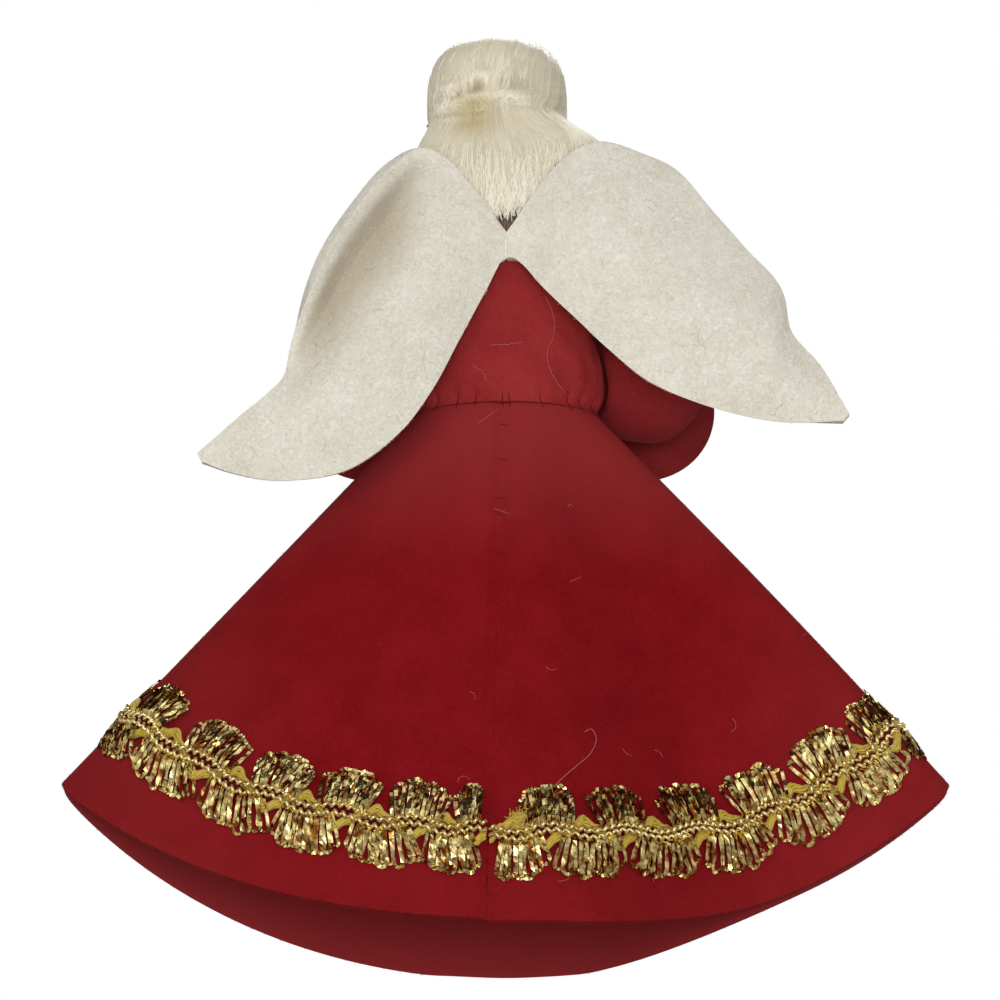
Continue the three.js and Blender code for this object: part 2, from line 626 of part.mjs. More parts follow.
// The origin is the middle of the figure's footprint, between the finger tips and the back of the hem
const box = new THREE.Box3().setFromObject(figure);
figure.position.y = -(box.min.y + box.max.y) / 2;

export default figure;
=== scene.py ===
import bisect
import math
import random

import bmesh
import bpy
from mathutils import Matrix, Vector, noise


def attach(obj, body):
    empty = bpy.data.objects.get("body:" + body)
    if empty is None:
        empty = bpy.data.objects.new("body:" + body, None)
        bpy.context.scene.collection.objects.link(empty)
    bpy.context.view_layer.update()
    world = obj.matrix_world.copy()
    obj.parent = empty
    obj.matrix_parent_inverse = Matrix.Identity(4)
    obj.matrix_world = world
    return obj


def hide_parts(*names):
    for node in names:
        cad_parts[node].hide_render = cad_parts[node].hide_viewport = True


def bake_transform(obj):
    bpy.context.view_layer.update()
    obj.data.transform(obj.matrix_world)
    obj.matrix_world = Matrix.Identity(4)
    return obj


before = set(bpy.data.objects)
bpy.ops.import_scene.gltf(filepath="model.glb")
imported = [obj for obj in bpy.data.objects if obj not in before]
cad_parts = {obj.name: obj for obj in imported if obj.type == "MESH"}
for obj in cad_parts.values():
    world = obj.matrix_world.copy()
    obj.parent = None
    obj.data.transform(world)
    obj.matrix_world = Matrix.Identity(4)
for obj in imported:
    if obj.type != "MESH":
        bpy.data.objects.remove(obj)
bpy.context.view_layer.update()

# The set: a pale table top under the figure, a broad window light behind its left shoulder, a soft box low
# behind it and a light high in front of it. The camera looks at its back from a little below the table's
# level, so the table shows only from above and lets the light through from below.
MM = 0.001
LIT_PLACE = Vector((0, 0, 0.06))
TABLE_HALF_SIDE = 1.5
scene = bpy.context.scene
scene.view_settings.view_transform = "Standard"


def to_linear(hex_colour):
    channels = [int(hex_colour[i:i + 2], 16) / 255 for i in (1, 3, 5)]
    return [c / 12.92 if c <= 0.04045 else ((c + 0.055) / 1.055) ** 2.4 for c in channels] + [1.0]


def add_node(tree, kind, inputs=None, **settings):
    made = tree.nodes.new(kind)
    for name, value in settings.items():
        setattr(made, name, value)
    for name, value in (inputs or {}).items():
        if isinstance(value, bpy.types.NodeSocket):
            tree.links.new(value, made.inputs[name])
        else:
            made.inputs[name].default_value = value
    return made


def new_material(name):
    material = bpy.data.materials.new(name)
    material.use_nodes = True
    material.node_tree.nodes.clear()
    return material, material.node_tree


camera_data = bpy.data.cameras.new("camera")
camera_data.sensor_width = 36
camera_data.lens = 243
camera = bpy.data.objects.new("camera", camera_data)
camera.location = (0.0008, 0.8735, -0.1723)
camera.rotation_euler = (math.radians(105), 0, math.radians(180))
scene.collection.objects.link(camera)
scene.camera = camera

world = bpy.data.worlds.new("pale_room")
scene.world = world
world.use_nodes = True
tree = world.node_tree
tree.nodes.clear()
toward = add_node(tree, "ShaderNodeTexCoord").outputs["Generated"]
walls = add_node(tree, "ShaderNodeTexNoise", {"Vector": toward, "Scale": 3.2, "Detail": 2.0})
height = add_node(tree, "ShaderNodeSeparateXYZ", {0: toward}).outputs["Z"]
tilted = add_node(tree, "ShaderNodeMath", {
    0: walls.outputs["Fac"], 1: 0.8, 2: height}, operation="MULTIPLY_ADD")
level = add_node(tree, "ShaderNodeMapRange", {"Value": tilted.outputs[0], "From Min": -0.6, "From Max": 1.4})
shade = add_node(tree, "ShaderNodeValToRGB", {"Fac": level.outputs[0]})
for place, colour in (
    (0.0, "#D8D4CC"), (0.5, "#FFFDF8"), (0.72, "#FFFDF8"), (0.78, "#4C2E24"), (0.99, "#36221C"),
):
    stop = shade.color_ramp.elements[0] if place == 0 else shade.color_ramp.elements.new(place)
    stop.color = to_linear(colour)
lit = add_node(tree, "ShaderNodeBackground", {"Color": shade.outputs["Color"], "Strength": 0.45})
seen = add_node(tree, "ShaderNodeBackground", {"Color": to_linear("#FFFFFF"), "Strength": 1.0})
rays = add_node(tree, "ShaderNodeLightPath")
pick = add_node(tree, "ShaderNodeMixShader", {
    0: rays.outputs["Is Camera Ray"], 1: lit.outputs[0], 2: seen.outputs[0]})
add_node(tree, "ShaderNodeOutputWorld", {"Surface": pick.outputs[0]})

for name, place, size, watts in (
    ("window_light", (0.26, 0.72, 0.34), 1.0, 2.3),
    ("soft_box_light", (-0.05, 0.95, -0.13), 0.4, 5.0),
    ("front_light", (-0.1, -0.6, 0.85), 0.7, 7.0),
):
    lamp_data = bpy.data.lights.new(name, "AREA")
    lamp_data.size = size
    lamp_data.energy = watts
    lamp = bpy.data.objects.new(name, lamp_data)
    lamp.location = place
    lamp.rotation_euler = (LIT_PLACE - Vector(place)).to_track_quat("-Z", "Y").to_euler()
    scene.collection.objects.link(lamp)

table_paper, tree = new_material("white_table_paper")
paper = add_node(tree, "ShaderNodeBsdfPrincipled", {"Base Color": to_linear("#F1F0EC"), "Roughness": 0.9})
clear = add_node(tree, "ShaderNodeBsdfTransparent")
below = add_node(tree, "ShaderNodeNewGeometry").outputs["Backfacing"]
either = add_node(tree, "ShaderNodeMixShader", {0: below, 1: paper.outputs[0], 2: clear.outputs[0]})
add_node(tree, "ShaderNodeOutputMaterial", {"Surface": either.outputs[0]})
bm = bmesh.new()
bmesh.ops.create_grid(bm, x_segments=1, y_segments=1, size=TABLE_HALF_SIDE)
table_mesh = bpy.data.meshes.new("table_top")
bm.to_mesh(table_mesh)
bm.free()
table_mesh.materials.append(table_paper)
table = bpy.data.objects.new("table_top", table_mesh)
table.visible_diffuse = False
table.visible_shadow = False
scene.collection.objects.link(table)

# Skirt: a half disc of pressed red wool felt, rolled into a flattened cone. Its right edge laps over its left
# at the middle of the back and is slip-stitched down, and it stands on its cut hem.
FIGURE_Y = 4.142
RED_FELT = 1.2
SKIRT_SLANT = 88.8
HEM_HALF_WIDTH = 59.1
HEM_HALF_DEPTH = 19
WAIST_HALF_WIDTH = 12.4
WAIST_HALF_DEPTH = 8.4
WAIST_Z = 71.8
LAP_INNER_END = 97
LAP_STEP = 2.0
PRESSED_FROM = 6
PRESSED_TO = 40
PRESSED_HALF_DEPTH = 1.9
HEM_FLAT_CUT = 0.5
HEM_POINTEDNESS = 1.3
HEM_CORNER_CUT = 0.013
HEM_CORNER_TURN = 8
HEM_SIDE_SHORTENING = 1.15
HEM_LEAN = 1.0
HEM_RIPPLE = 0.22
PRESSED_SIDE_BOW = 0.6
LAP_ROLL = 0.5
LAP_LIFT = 0.75
SKIRT_COLUMNS = 420
SKIRT_ROWS = 90
SKIRT_APEX_Z = math.sqrt(SKIRT_SLANT ** 2 - HEM_HALF_DEPTH ** 2) - HEM_FLAT_CUT


def smoothstep(x, start, end):
    share = min(max((x - start) / (end - start), 0), 1)
    return share * share * (3 - 2 * share)


def curve_through(points, by_length=True):
    knots = [Vector(point) for point in points]
    run = [2 * knots[0] - knots[1], *knots, 2 * knots[-1] - knots[-2]]
    samples = []
    for a, b, c, d in zip(run, run[1:], run[2:], run[3:]):
        ab, bc, cd = (max((q - p).length, 1e-9) ** 0.5 for p, q in ((a, b), (b, c), (c, d)))
        leave = ((b - a) / ab - (c - a) / (ab + bc) + (c - b) / bc) * bc
        reach = ((c - b) / bc - (d - b) / (bc + cd) + (d - c) / cd) * bc
        for step in range(24):
            t = step / 24
            samples.append(b * (2 * t ** 3 - 3 * t ** 2 + 1) + leave * (t ** 3 - 2 * t ** 2 + t)
                           + c * (3 * t ** 2 - 2 * t ** 3) + reach * (t ** 3 - t ** 2))
    samples.append(knots[-1])
    marks = [0.0]
    for before, after in zip(samples, samples[1:]):
        marks.append(marks[-1] + ((after - before).length if by_length else 1))

    def at(u):
        want = min(max(u, 0), 1) * marks[-1]
        k = min(bisect.bisect_right(marks, want), len(marks) - 1)
        share = (want - marks[k - 1]) / max(marks[k] - marks[k - 1], 1e-9)
        return samples[k - 1].lerp(samples[k], share)

    return at


lap_line = curve_through([
    (0.0, 0.2, 0), (0.06, 0.3, 0), (0.12, 0.6, 0), (0.5, 1.1, 0), (0.8, 1.6, 0), (0.9, 2.0, 0),
    (1.0, 2.6, 0)])


def skirt_half_width(v):
    return WAIST_HALF_WIDTH + (HEM_HALF_WIDTH - WAIST_HALF_WIDTH) * v


def lap_turn(v):
    # Where the outer edge of the lap lies, in degrees round the skirt, with the waver of a cut by hand
    waver = 0.24 * noise.noise(Vector((34 * v, 1.7, 0))) + 0.1 * noise.noise(Vector((90 * v, 4.1, 0)))
    return math.degrees(math.acos((lap_line(v).y + waver) / skirt_half_width(v)))


def pressed_share(turn):
    # How far the right side of the skirt has been pressed flat, as it lay in a drawer
    return smoothstep(-HEM_HALF_WIDTH * math.cos(math.radians(turn)), PRESSED_FROM, PRESSED_TO)


def skirt_ruling(turn):
    side = math.cos(math.radians(turn))
    back = math.sin(math.radians(turn))
    waist = Vector((WAIST_HALF_WIDTH * side, WAIST_HALF_DEPTH * back, WAIST_Z))
    hem_back = math.copysign(abs(back) ** HEM_POINTEDNESS, back)
    hem = Vector((HEM_HALF_WIDTH * side, HEM_HALF_DEPTH * hem_back, 0))
    slant = SKIRT_SLANT - HEM_SIDE_SHORTENING * side ** 4
    hem.z = SKIRT_APEX_Z - math.sqrt(slant ** 2 - hem.x ** 2 - hem.y ** 2)
    flat = PRESSED_HALF_DEPTH * math.tanh(hem.y / PRESSED_HALF_DEPTH)
    hem.y += (flat - hem.y) * pressed_share(turn)
    off_fold = min(turn % 180, 180 - turn % 180)
    rounded_corner = HEM_CORNER_CUT * math.exp(-(off_fold / HEM_CORNER_TURN) ** 2)
    return waist, hem.lerp(waist, rounded_corner)


def skirt_outward(turn, v):
    waist, hem = skirt_ruling(turn)
    next_waist, next_hem = skirt_ruling(turn - 0.5)
    last_waist, last_hem = skirt_ruling(turn + 0.5)
    along = next_waist.lerp(next_hem, v) - last_waist.lerp(last_hem, v)
    return along.cross(hem - waist).normalized()


def skirt_point(turn, v, rise=0.0):
    # The lapped edges roll in towards the stitches, so that they meet in a narrow groove
    waist, hem = skirt_ruling(turn)
    if turn > 0:
        past_edge = math.radians(turn - lap_turn(v)) * skirt_half_width(v)
        rise -= LAP_ROLL * smoothstep(past_edge, -1.9, -0.1)
        rise -= (LAP_STEP - LAP_ROLL) * smoothstep(past_edge, 0.05, 0.4)
        lift = LAP_LIFT * smoothstep(turn, 30, 90) * v ** 3
    else:
        from_edge = math.radians(turn + 360 - lap_turn(v)) * skirt_half_width(v)
        rise -= LAP_ROLL * (1 - smoothstep(from_edge, -0.2, 1.8))
        lift = 0
    ripple = HEM_RIPPLE * v * v * math.sin(math.radians(5 * turn) + 0.6)
    point = waist.lerp(hem, v) + skirt_outward(turn, v) * (rise + ripple)
    point.x -= PRESSED_SIDE_BOW * math.sin(math.pi * v) * smoothstep(-math.cos(math.radians(turn)), 0.3, 1)
    point.y += FIGURE_Y - HEM_LEAN * v * v
    point.z = max(point.z + lift, 0)
    return point * MM


def felt(name, deep, pale, sheen_weight, sheen_colour, painted_shading_colour=None, grain=0.9, relief_depth=0.16, clouding=1.0):
    # Pressed wool: matt, faintly clouded where the wool lies thinner, with a fine relief of fibres. Where a
    # vertex attribute asks, a third colour is painted in: a paler red as painted sheen and light on the
    # skirt, a near-black red as painted shade in the sleeves' wrist crease and a yellowed grey as painted
    # shade in the left wing's valley.
    material, tree = new_material(name)
    where = add_node(tree, "ShaderNodeTexCoord").outputs["Object"]
    clouds = add_node(tree, "ShaderNodeTexNoise", {"Vector": where, "Scale": 1 / (6 * MM), "Detail": 2.0})
    fibres = add_node(tree, "ShaderNodeTexNoise", {
        "Vector": where, "Scale": 1 / (grain * MM), "Detail": 4.0, "Roughness": 0.65, "Distortion": 1.6})
    both = add_node(tree, "ShaderNodeMath", {
        0: clouds.outputs["Fac"], 1: clouding, 2: fibres.outputs["Fac"]}, operation="MULTIPLY_ADD")
    spread = add_node(tree, "ShaderNodeMapRange", {
        "Value": both.outputs[0], "From Min": 0.2 + 0.5 * clouding, "From Max": 0.8 + 0.5 * clouding})
    tint = add_node(tree, "ShaderNodeMix", {
        0: spread.outputs[0], 6: to_linear(deep), 7: to_linear(pale)}, data_type="RGBA")
    if painted_shading_colour:
        painted_shading_share = add_node(tree, "ShaderNodeAttribute", attribute_name="painted_shading")
        tint = add_node(tree, "ShaderNodeMix", {
            0: painted_shading_share.outputs["Fac"], 6: tint.outputs[2], 7: to_linear(painted_shading_colour)}, data_type="RGBA")
    relief = add_node(tree, "ShaderNodeBump", {
        "Height": fibres.outputs["Fac"], "Strength": 0.55, "Distance": relief_depth * MM})
    wool = add_node(tree, "ShaderNodeBsdfPrincipled", {
        "Base Color": tint.outputs[2], "Roughness": 0.95, "Specular IOR Level": 0.05,
        "Sheen Weight": sheen_weight, "Sheen Roughness": 0.6, "Sheen Tint": to_linear(sheen_colour),
        "Normal": relief.outputs[0]})
    add_node(tree, "ShaderNodeOutputMaterial", {"Surface": wool.outputs[0]})
    return material


def cloth_grid(columns, rows, place):
    bm = bmesh.new()
    bmesh.ops.create_grid(bm, x_segments=columns, y_segments=rows, size=0.5)
    for vertex in bm.verts:
        vertex.co = place(vertex.co.x + 0.5, vertex.co.y + 0.5)
    return bm


def turn_faces(bm, face, way):
    # Turns a sheet so that this face of it looks this way
    if face.normal.dot(way) < 0:
        bmesh.ops.reverse_faces(bm, faces=bm.faces)


def close_seam(bm):
    bmesh.ops.remove_doubles(bm, verts=bm.verts, dist=0.01 * MM)
    bmesh.ops.recalc_face_normals(bm, faces=bm.faces)


def add_piece(name, shape, material, body):
    mesh = shape
    if isinstance(shape, bmesh.types.BMesh):
        mesh = bpy.data.meshes.new(name)
        shape.to_mesh(mesh)
        shape.free()
    for polygon in mesh.polygons:
        polygon.use_smooth = True
    mesh.materials.clear()
    mesh.materials.append(material)
    piece = bpy.data.objects.new(name, mesh)
    scene.collection.objects.link(piece)
    if body:
        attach(piece, body)
    return piece


def thicken(piece, thickness, edge, segments=2, even=True):
    wall = piece.modifiers.new("felt_thickness", "SOLIDIFY")
    wall.thickness = thickness * MM
    wall.offset = -1
    wall.use_even_offset = even
    cut_edge = piece.modifiers.new("soft_cut_edge", "BEVEL")
    cut_edge.width = edge * MM
    cut_edge.segments = segments
    cut_edge.limit_method = "ANGLE"
    cut_edge.angle_limit = math.radians(50)


def add_strands(name, paths, radius, resolution, material, body="figure"):
    curve = bpy.data.curves.new(name, "CURVE")
    curve.dimensions = "3D"
    curve.bevel_depth = radius * MM
    curve.bevel_resolution = resolution
    curve.use_fill_caps = True
    for path in paths:
        spline = curve.splines.new("POLY")
        spline.points.add(len(path) - 1)
        for point, place in zip(spline.points, path):
            point.co = (*place, 1)
    holder = bpy.data.objects.new(name, curve)
    mesh = bpy.data.meshes.new_from_object(holder)
    mesh.name = name
    bpy.data.objects.remove(holder)
    bpy.data.curves.remove(curve)
    return add_piece(name, mesh, material, body)


# The skirt's felt: its third colour, a paler red, is painted sheen and light.
red_wool_felt = felt("red_wool_felt", "#700B11", "#801319", 0.05, "#D04040", painted_shading_colour="#8C2E30")


def skirt_turn(u, v):
    # Columns crowd towards both edges, where the felt rolls in
    share = u - 0.93 * math.sin(2 * math.pi * u) / (2 * math.pi)
    return LAP_INNER_END + (lap_turn(v) - 360 - LAP_INNER_END) * share


bm = cloth_grid(SKIRT_COLUMNS, SKIRT_ROWS, lambda u, v: skirt_point(skirt_turn(u, v), v))
bm.normal_update()
bm.faces.ensure_lookup_table()
middle_face = bm.faces[len(bm.faces) // 2]
turn_faces(bm, middle_face, middle_face.calc_center_median() - Vector((0, FIGURE_Y * MM, 0.04)))
painted_shading = bm.verts.layers.float.new("painted_shading")
# Painted light: the felt is made paler towards the waist, the sides and the hem as painted sheen, and on the
# front half, whose inside shows under the back hem, as painted light from below.
for vertex in bm.verts:
    x, y, z = vertex.co / MM
    painted_shading_share = 0.7 * smoothstep(z, 46, 70) + 0.28 * smoothstep(abs(x), 22, 50) + 0.1 * smoothstep(z, 16, 4)
    vertex[painted_shading] = min(painted_shading_share + 0.55 * smoothstep(y, FIGURE_Y + 1, FIGURE_Y - 2), 1)
skirt = add_piece("felt_skirt", bm, red_wool_felt, "figure")
thicken(skirt, RED_FELT, 0.25)
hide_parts("skirt")

# Lap stitches: short slip stitches of red thread that hold the lapped edge down from the waist to the hem.
# They are drawn tight, so that both ends sink into the felt.
LAP_STITCHES = 15


def two_shades(name, deep, pale, grain, finish, relief=None, kind="ShaderNodeTexNoise", **pattern):
    # A material that wanders between two shades in a pattern of one size, with a relief of that pattern
    material, tree = new_material(name)
    where = add_node(tree, "ShaderNodeTexCoord").outputs["Object"]
    spots = add_node(tree, kind, {"Vector": where, "Scale": 1 / (grain * MM), **pattern}).outputs["Fac"]
    tint = add_node(tree, "ShaderNodeMix", {
        0: spots, 6: to_linear(deep), 7: to_linear(pale)}, data_type="RGBA")
    shader = add_node(tree, "ShaderNodeBsdfPrincipled", {"Base Color": tint.outputs[2], **finish})
    if relief:
        strength, depth = relief
        bump = add_node(tree, "ShaderNodeBump", {
            "Height": spots, "Strength": strength, "Distance": depth * MM})
        tree.links.new(bump.outputs[0], shader.inputs["Normal"])
    add_node(tree, "ShaderNodeOutputMaterial", {"Surface": shader.outputs[0]})
    return material


rng = random.Random(3)
# Plied cotton: matt, with the light and dark of its twist
red_thread = two_shades(
    "dark_red_cotton_thread", "#560A0D", "#70141A", 0.5, {"Roughness": 0.9, "Specular IOR Level": 0.15},
    kind="ShaderNodeTexWave", Distortion=1.0)
lap_stitches = []
for k in range(LAP_STITCHES):
    v = 0.03 + 0.94 * (k + 0.8 * rng.random()) / LAP_STITCHES
    edge = lap_turn(v)
    per_mm = math.degrees(1 / skirt_half_width(v))
    slope = rng.uniform(0.0, 0.006)
    lap_stitches.append([
        skirt_point(edge - 0.7 * per_mm, v - slope, -0.12),
        skirt_point(edge - 0.4 * per_mm, v - 0.5 * slope, 0.04),
        skirt_point(edge + 0.1 * per_mm - 360, v, 0.0),
        skirt_point(edge + 0.45 * per_mm - 360, v + 0.6 * slope, 0.03),
        skirt_point(edge + 0.75 * per_mm - 360, v + slope, -0.12),
    ])
add_strands("lap_stitches", lap_stitches, 0.07, 1, red_thread)

# Wool bloom: single fibres that stand off the skirt's felt and out of its cut hem, most of them red. A few
# are longer and pale, and one long stray lies across the back above the braid.
SKIRT_BLOOM = 3000
HEM_BLOOM = 1200
SKIRT_STRAYS = 22
FIBRE_STEPS = 5


def loose_wool(name, colour, roughness=0.7):
    # Single fibres: too fine to show more than their colour
    material, tree = new_material(name)
    fibre = add_node(tree, "ShaderNodeBsdfPrincipled", {
        "Base Color": to_linear(colour), "Roughness": roughness})
    add_node(tree, "ShaderNodeOutputMaterial", {"Surface": fibre.outputs[0]})
    return material


red_fibre = loose_wool("loose_red_wool", "#8A2024")
pale_fibre = loose_wool("loose_pale_wool", "#C88078", 0.6)


def curled_fibre(rng, root, outward, length, lift, curl):
    sideways = outward.orthogonal().normalized()
    spin = rng.uniform(0, 2 * math.pi)
    ahead = sideways * math.cos(spin) + outward.cross(sideways) * math.sin(spin)
    bend = rng.uniform(-curl, curl)
    path = [root.copy()]
    for k in range(FIBRE_STEPS):
        ahead = (ahead + outward.cross(ahead) * bend / FIBRE_STEPS).normalized()
        rise = outward * lift * math.cos(math.pi * k / (FIBRE_STEPS - 1))
        path.append(path[-1] + (ahead + rise) * length / FIBRE_STEPS)
    return path


bloom = []
for k in range(SKIRT_BLOOM):
    v = math.sqrt(rng.uniform(0.01, 0.999))
    turn = skirt_turn(rng.uniform(0.06, 0.97), v)
    outward = skirt_outward(turn, v)
    bloom.append(curled_fibre(rng, skirt_point(turn, v), outward, rng.uniform(0.25, 0.7) * MM, 0.6, 3.0))
for k in range(HEM_BLOOM):
    turn = skirt_turn(rng.uniform(0.06, 0.97), 1.0)
    root = skirt_point(turn, 1.0, -rng.uniform(0.1, 1.1))
    bloom.append(curled_fibre(rng, root, Vector((0, 0, -1)), rng.uniform(0.2, 0.5) * MM, 0.4, 3.0))
add_strands("skirt_wool_bloom", bloom, 0.014, 0, red_fibre)
strays = []
for k in range(SKIRT_STRAYS):
    v = math.sqrt(rng.uniform(0.02, 0.97))
    turn = skirt_turn(rng.uniform(0.06, 0.97), v)
    outward = skirt_outward(turn, v)
    root = skirt_point(turn, v, 0.06)
    strays.append(curled_fibre(rng, root, outward, rng.uniform(1.0, 2.6) * MM, 0.06, 3.5))
add_strands("skirt_strays", strays, 0.02, 0, pale_fibre)


def on_skirt_back(x, z, rise):
    v = 1 - z / WAIST_Z
    around = math.degrees(math.acos(x / skirt_half_width(v)))
    return skirt_point(around if around < lap_turn(v) else around - 360, v, rise)


long_stray = curve_through([
    (-4.7, 15.9, 0.1), (-6.4, 18.4, 0.35), (-8.8, 20.7, 0.5), (-10.8, 22.6, 0.4), (-11.6, 24.6, 0.3),
    (-11.0, 26.0, 0.2), (-10.2, 25.6, 0.1)])
long_strays = [[on_skirt_back(*long_stray(k / 30)) for k in range(31)]]
add_strands("skirt_long_stray", long_strays, 0.035, 0, pale_fibre)

# Gold braid: gimp sewn round the skirt, with fans of flat tinsel loops on both sides of two wound metal cords
# and a soft yellow yarn that swings from fan to fan. Its ends meet at the lapped edge.
BRAID_ABOVE_HEM = 11.8
BRAID_DROP_AT_PRESSED_SIDE = 1.1
BRAID_RISE_AT_LEFT_FOLD = 1.2
FAN_LOOPS = 10
FOIL_FOLDS = 20
FAN_REACH = 6.2
FOIL_FOOT = 0.7
FOIL_THICKNESS = 0.07
BRAID_END_ROOM = 0.7
CORD_WAVE = 0.5
CORD_LANE = 0.5
CORD_RADIUS = 0.27
CORD_RISE = 1.8
STRIP_TURN = 1.1
YARN_STRANDS = 7
FRONT_FANS = 14
FRAYED_FILAMENTS = 170
BRAID_STEPS = 2400
BRAID_SHARE = 0.862
BRAID_START = lap_turn(BRAID_SHARE) - 0.3
BRAID_END = lap_turn(BRAID_SHARE) - 359.7
braid_turns = [BRAID_START + (BRAID_END - BRAID_START) * k / BRAID_STEPS for k in range(BRAID_STEPS + 1)]
braid_marks = [0.0]


def skirt_length(turn):
    waist, hem = skirt_ruling(turn)
    return (hem - waist).length


def braid_place(turn, above, rise):
    above_hem = BRAID_ABOVE_HEM - BRAID_DROP_AT_PRESSED_SIDE * pressed_share(turn)
    above_hem += BRAID_RISE_AT_LEFT_FOLD * smoothstep(math.cos(math.radians(turn)), 0.6, 0.95)
    lies_flat = 0.4 + 0.6 * smoothstep(abs(math.sin(math.radians(turn))), 0.1, 0.45)
    return skirt_point(turn, 1 - (above_hem + above) / skirt_length(turn), rise * lies_flat)


for before, after in zip(braid_turns, braid_turns[1:]):
    braid_marks.append(braid_marks[-1] + (braid_place(after, 0, 0) - braid_place(before, 0, 0)).length / MM)
BRAID_LENGTH = braid_marks[-1]
# Where the fans lie along the braid, from its start at the lap: some are crowded and some pulled apart
fan_middles = [1.0, 9.1, 19.0, 28.6, 39.5, 51.2]
fans_to_lap = [51.4, 40.8, 29.6, 17.6, 7.6, -1.0]
front_run = BRAID_LENGTH - fans_to_lap[0] - fan_middles[-1]
fan_middles += [fan_middles[-1] + front_run * k / (FRONT_FANS + 1) for k in range(1, FRONT_FANS + 1)]
fan_middles += [BRAID_LENGTH - to_lap for to_lap in fans_to_lap]


def braid_point(along, above, rise):
    along = min(max(along, 0), BRAID_LENGTH)
    k = min(bisect.bisect_right(braid_marks, along), len(braid_marks) - 1)
    share = (along - braid_marks[k - 1]) / (braid_marks[k] - braid_marks[k - 1])
    return braid_place(braid_turns[k - 1] + (braid_turns[k] - braid_turns[k - 1]) * share, above, rise)


def fan_phase(along):
    k = min(max(bisect.bisect_right(fan_middles, along), 1), len(fan_middles) - 1)
    return 2 * math.pi * (k - 1 + (along - fan_middles[k - 1]) / (fan_middles[k] - fan_middles[k - 1]))


def cord_line(along):
    return CORD_WAVE * math.cos(fan_phase(along))


def braid_steps(count):
    return [BRAID_LENGTH * k / count for k in range(count + 1)]


gold_tinsel, tree = new_material("gold_metal_tinsel")
# Slit metal foil: a mirror with fine lines and some tarnish, so each fold flashes or goes dark by itself
foil_where = add_node(tree, "ShaderNodeTexCoord").outputs["Object"]
foil_patches = add_node(tree, "ShaderNodeTexNoise", {
    "Vector": foil_where, "Scale": 1 / (1.2 * MM), "Detail": 2.0})
foil_tarnish = add_node(tree, "ShaderNodeMapRange", {
    "Value": foil_patches.outputs["Fac"], "From Min": 0.36, "From Max": 0.62})
foil_tint = add_node(tree, "ShaderNodeMix", {
    0: foil_tarnish.outputs[0], 6: to_linear("#8E5420"), 7: to_linear("#FFF1A6")}, data_type="RGBA")
foil_lines = add_node(tree, "ShaderNodeTexNoise", {
    "Vector": foil_where, "Scale": 1 / (0.45 * MM), "Detail": 2.0})
foil_relief = add_node(tree, "ShaderNodeBump", {
    "Height": foil_lines.outputs["Fac"], "Strength": 0.35, "Distance": 0.08 * MM})
foil = add_node(tree, "ShaderNodeBsdfPrincipled", {
    "Base Color": foil_tint.outputs[2], "Metallic": 1.0, "Roughness": 0.16, "Normal": foil_relief.outputs[0]})
add_node(tree, "ShaderNodeOutputMaterial", {"Surface": foil.outputs[0]})


def foil_loop(out, foot, tip, reach, half_gap):
    # Out along one leg, round the tip and back along the other: place along and across the braid
    leg = 2 * out - 1
    bend = 0.5 * math.pi * max(min(leg / 0.44, 1), -1)
    straight = min((1 - abs(leg)) / 0.56, 1)
    above = FOIL_FOOT + (reach - half_gap - FOIL_FOOT) * straight + half_gap * math.cos(bend)
    far = (above - FOIL_FOOT) / (reach - FOIL_FOOT)
    return foot + (tip - foot) * far + half_gap * math.sin(bend) * (0.4 + 0.6 * straight), above, far


rng = random.Random(11)
bm = bmesh.new()
for fan, middle in enumerate(fan_middles[:-1]):
    pitch = fan_middles[fan + 1] - middle
    lean = 0.6 if middle < BRAID_LENGTH / 2 else 0.0
    for side, heart, half_fan in ((1, middle, 0.36 * pitch), (-1, middle + 0.5 * pitch - lean, 0.41 * pitch)):
        for loop in range(FAN_LOOPS):
            spread = 2 * loop / (FAN_LOOPS - 1) - 1
            foot = heart + 0.78 * half_fan * spread + rng.uniform(-0.12, 0.12)
            tip = heart + half_fan * spread + 0.6 * lean * (side - 1) + rng.uniform(-0.35, 0.35)
            reach = FAN_REACH + 0.35 * side - 1.3 * abs(spread) ** 4 + rng.uniform(-0.55, 0.25)
            half_gap = rng.uniform(0.5, 0.8)
            hump = rng.uniform(1.2, 1.6)
            lie = rng.uniform(0.2, 0.5)
            half_width = rng.uniform(0.2, 0.3)
            rolls = [rng.gauss(0, 0.36) for _ in range(FOIL_FOLDS + 1)]
            dents = [rng.gauss(0, 0.09) for _ in range(FOIL_FOLDS + 1)]
            if min(foot, tip) <= BRAID_END_ROOM or max(foot, tip) >= BRAID_LENGTH - BRAID_END_ROOM:
                continue
            made = bmesh.ops.create_grid(bm, x_segments=FOIL_FOLDS, y_segments=1, size=0.5)
            for vertex in made["verts"]:
                out = vertex.co.x + 0.5
                fold = round(out * FOIL_FOLDS)
                along, above, far = foil_loop(out, foot, tip, reach, half_gap)
                ahead = Vector(foil_loop(out + 0.02, foot, tip, reach, half_gap)[:2])
                ahead = (ahead - Vector(foil_loop(out - 0.02, foot, tip, reach, half_gap)[:2])).normalized()
                across = 2 * vertex.co.y * half_width
                roll = rolls[fold] * (1 - 0.6 * smoothstep(side * far, 0.4, 0.7))
                along -= ahead.y * across * math.cos(roll)
                above = cord_line(along) * (1 - far) + side * (above + ahead.x * across * math.cos(roll))
                arch = smoothstep(far, -0.3, 0.2) * (1.25 - far) - 0.25 * smoothstep(far, 0.86, 1)
                rise = lie + hump * arch + across * math.sin(roll) + dents[fold]
                vertex.co = braid_point(along, above, max(rise, 0.08))
foils = add_piece("braid_tinsel_loops", bm, gold_tinsel, "figure")
for polygon in foils.data.polygons:
    polygon.use_smooth = False
foil_wall = foils.modifiers.new("foil_thickness", "SOLIDIFY")
foil_wall.thickness = FOIL_THICKNESS * MM
foil_wall.offset = 0
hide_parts("hem_braid_ribbon")

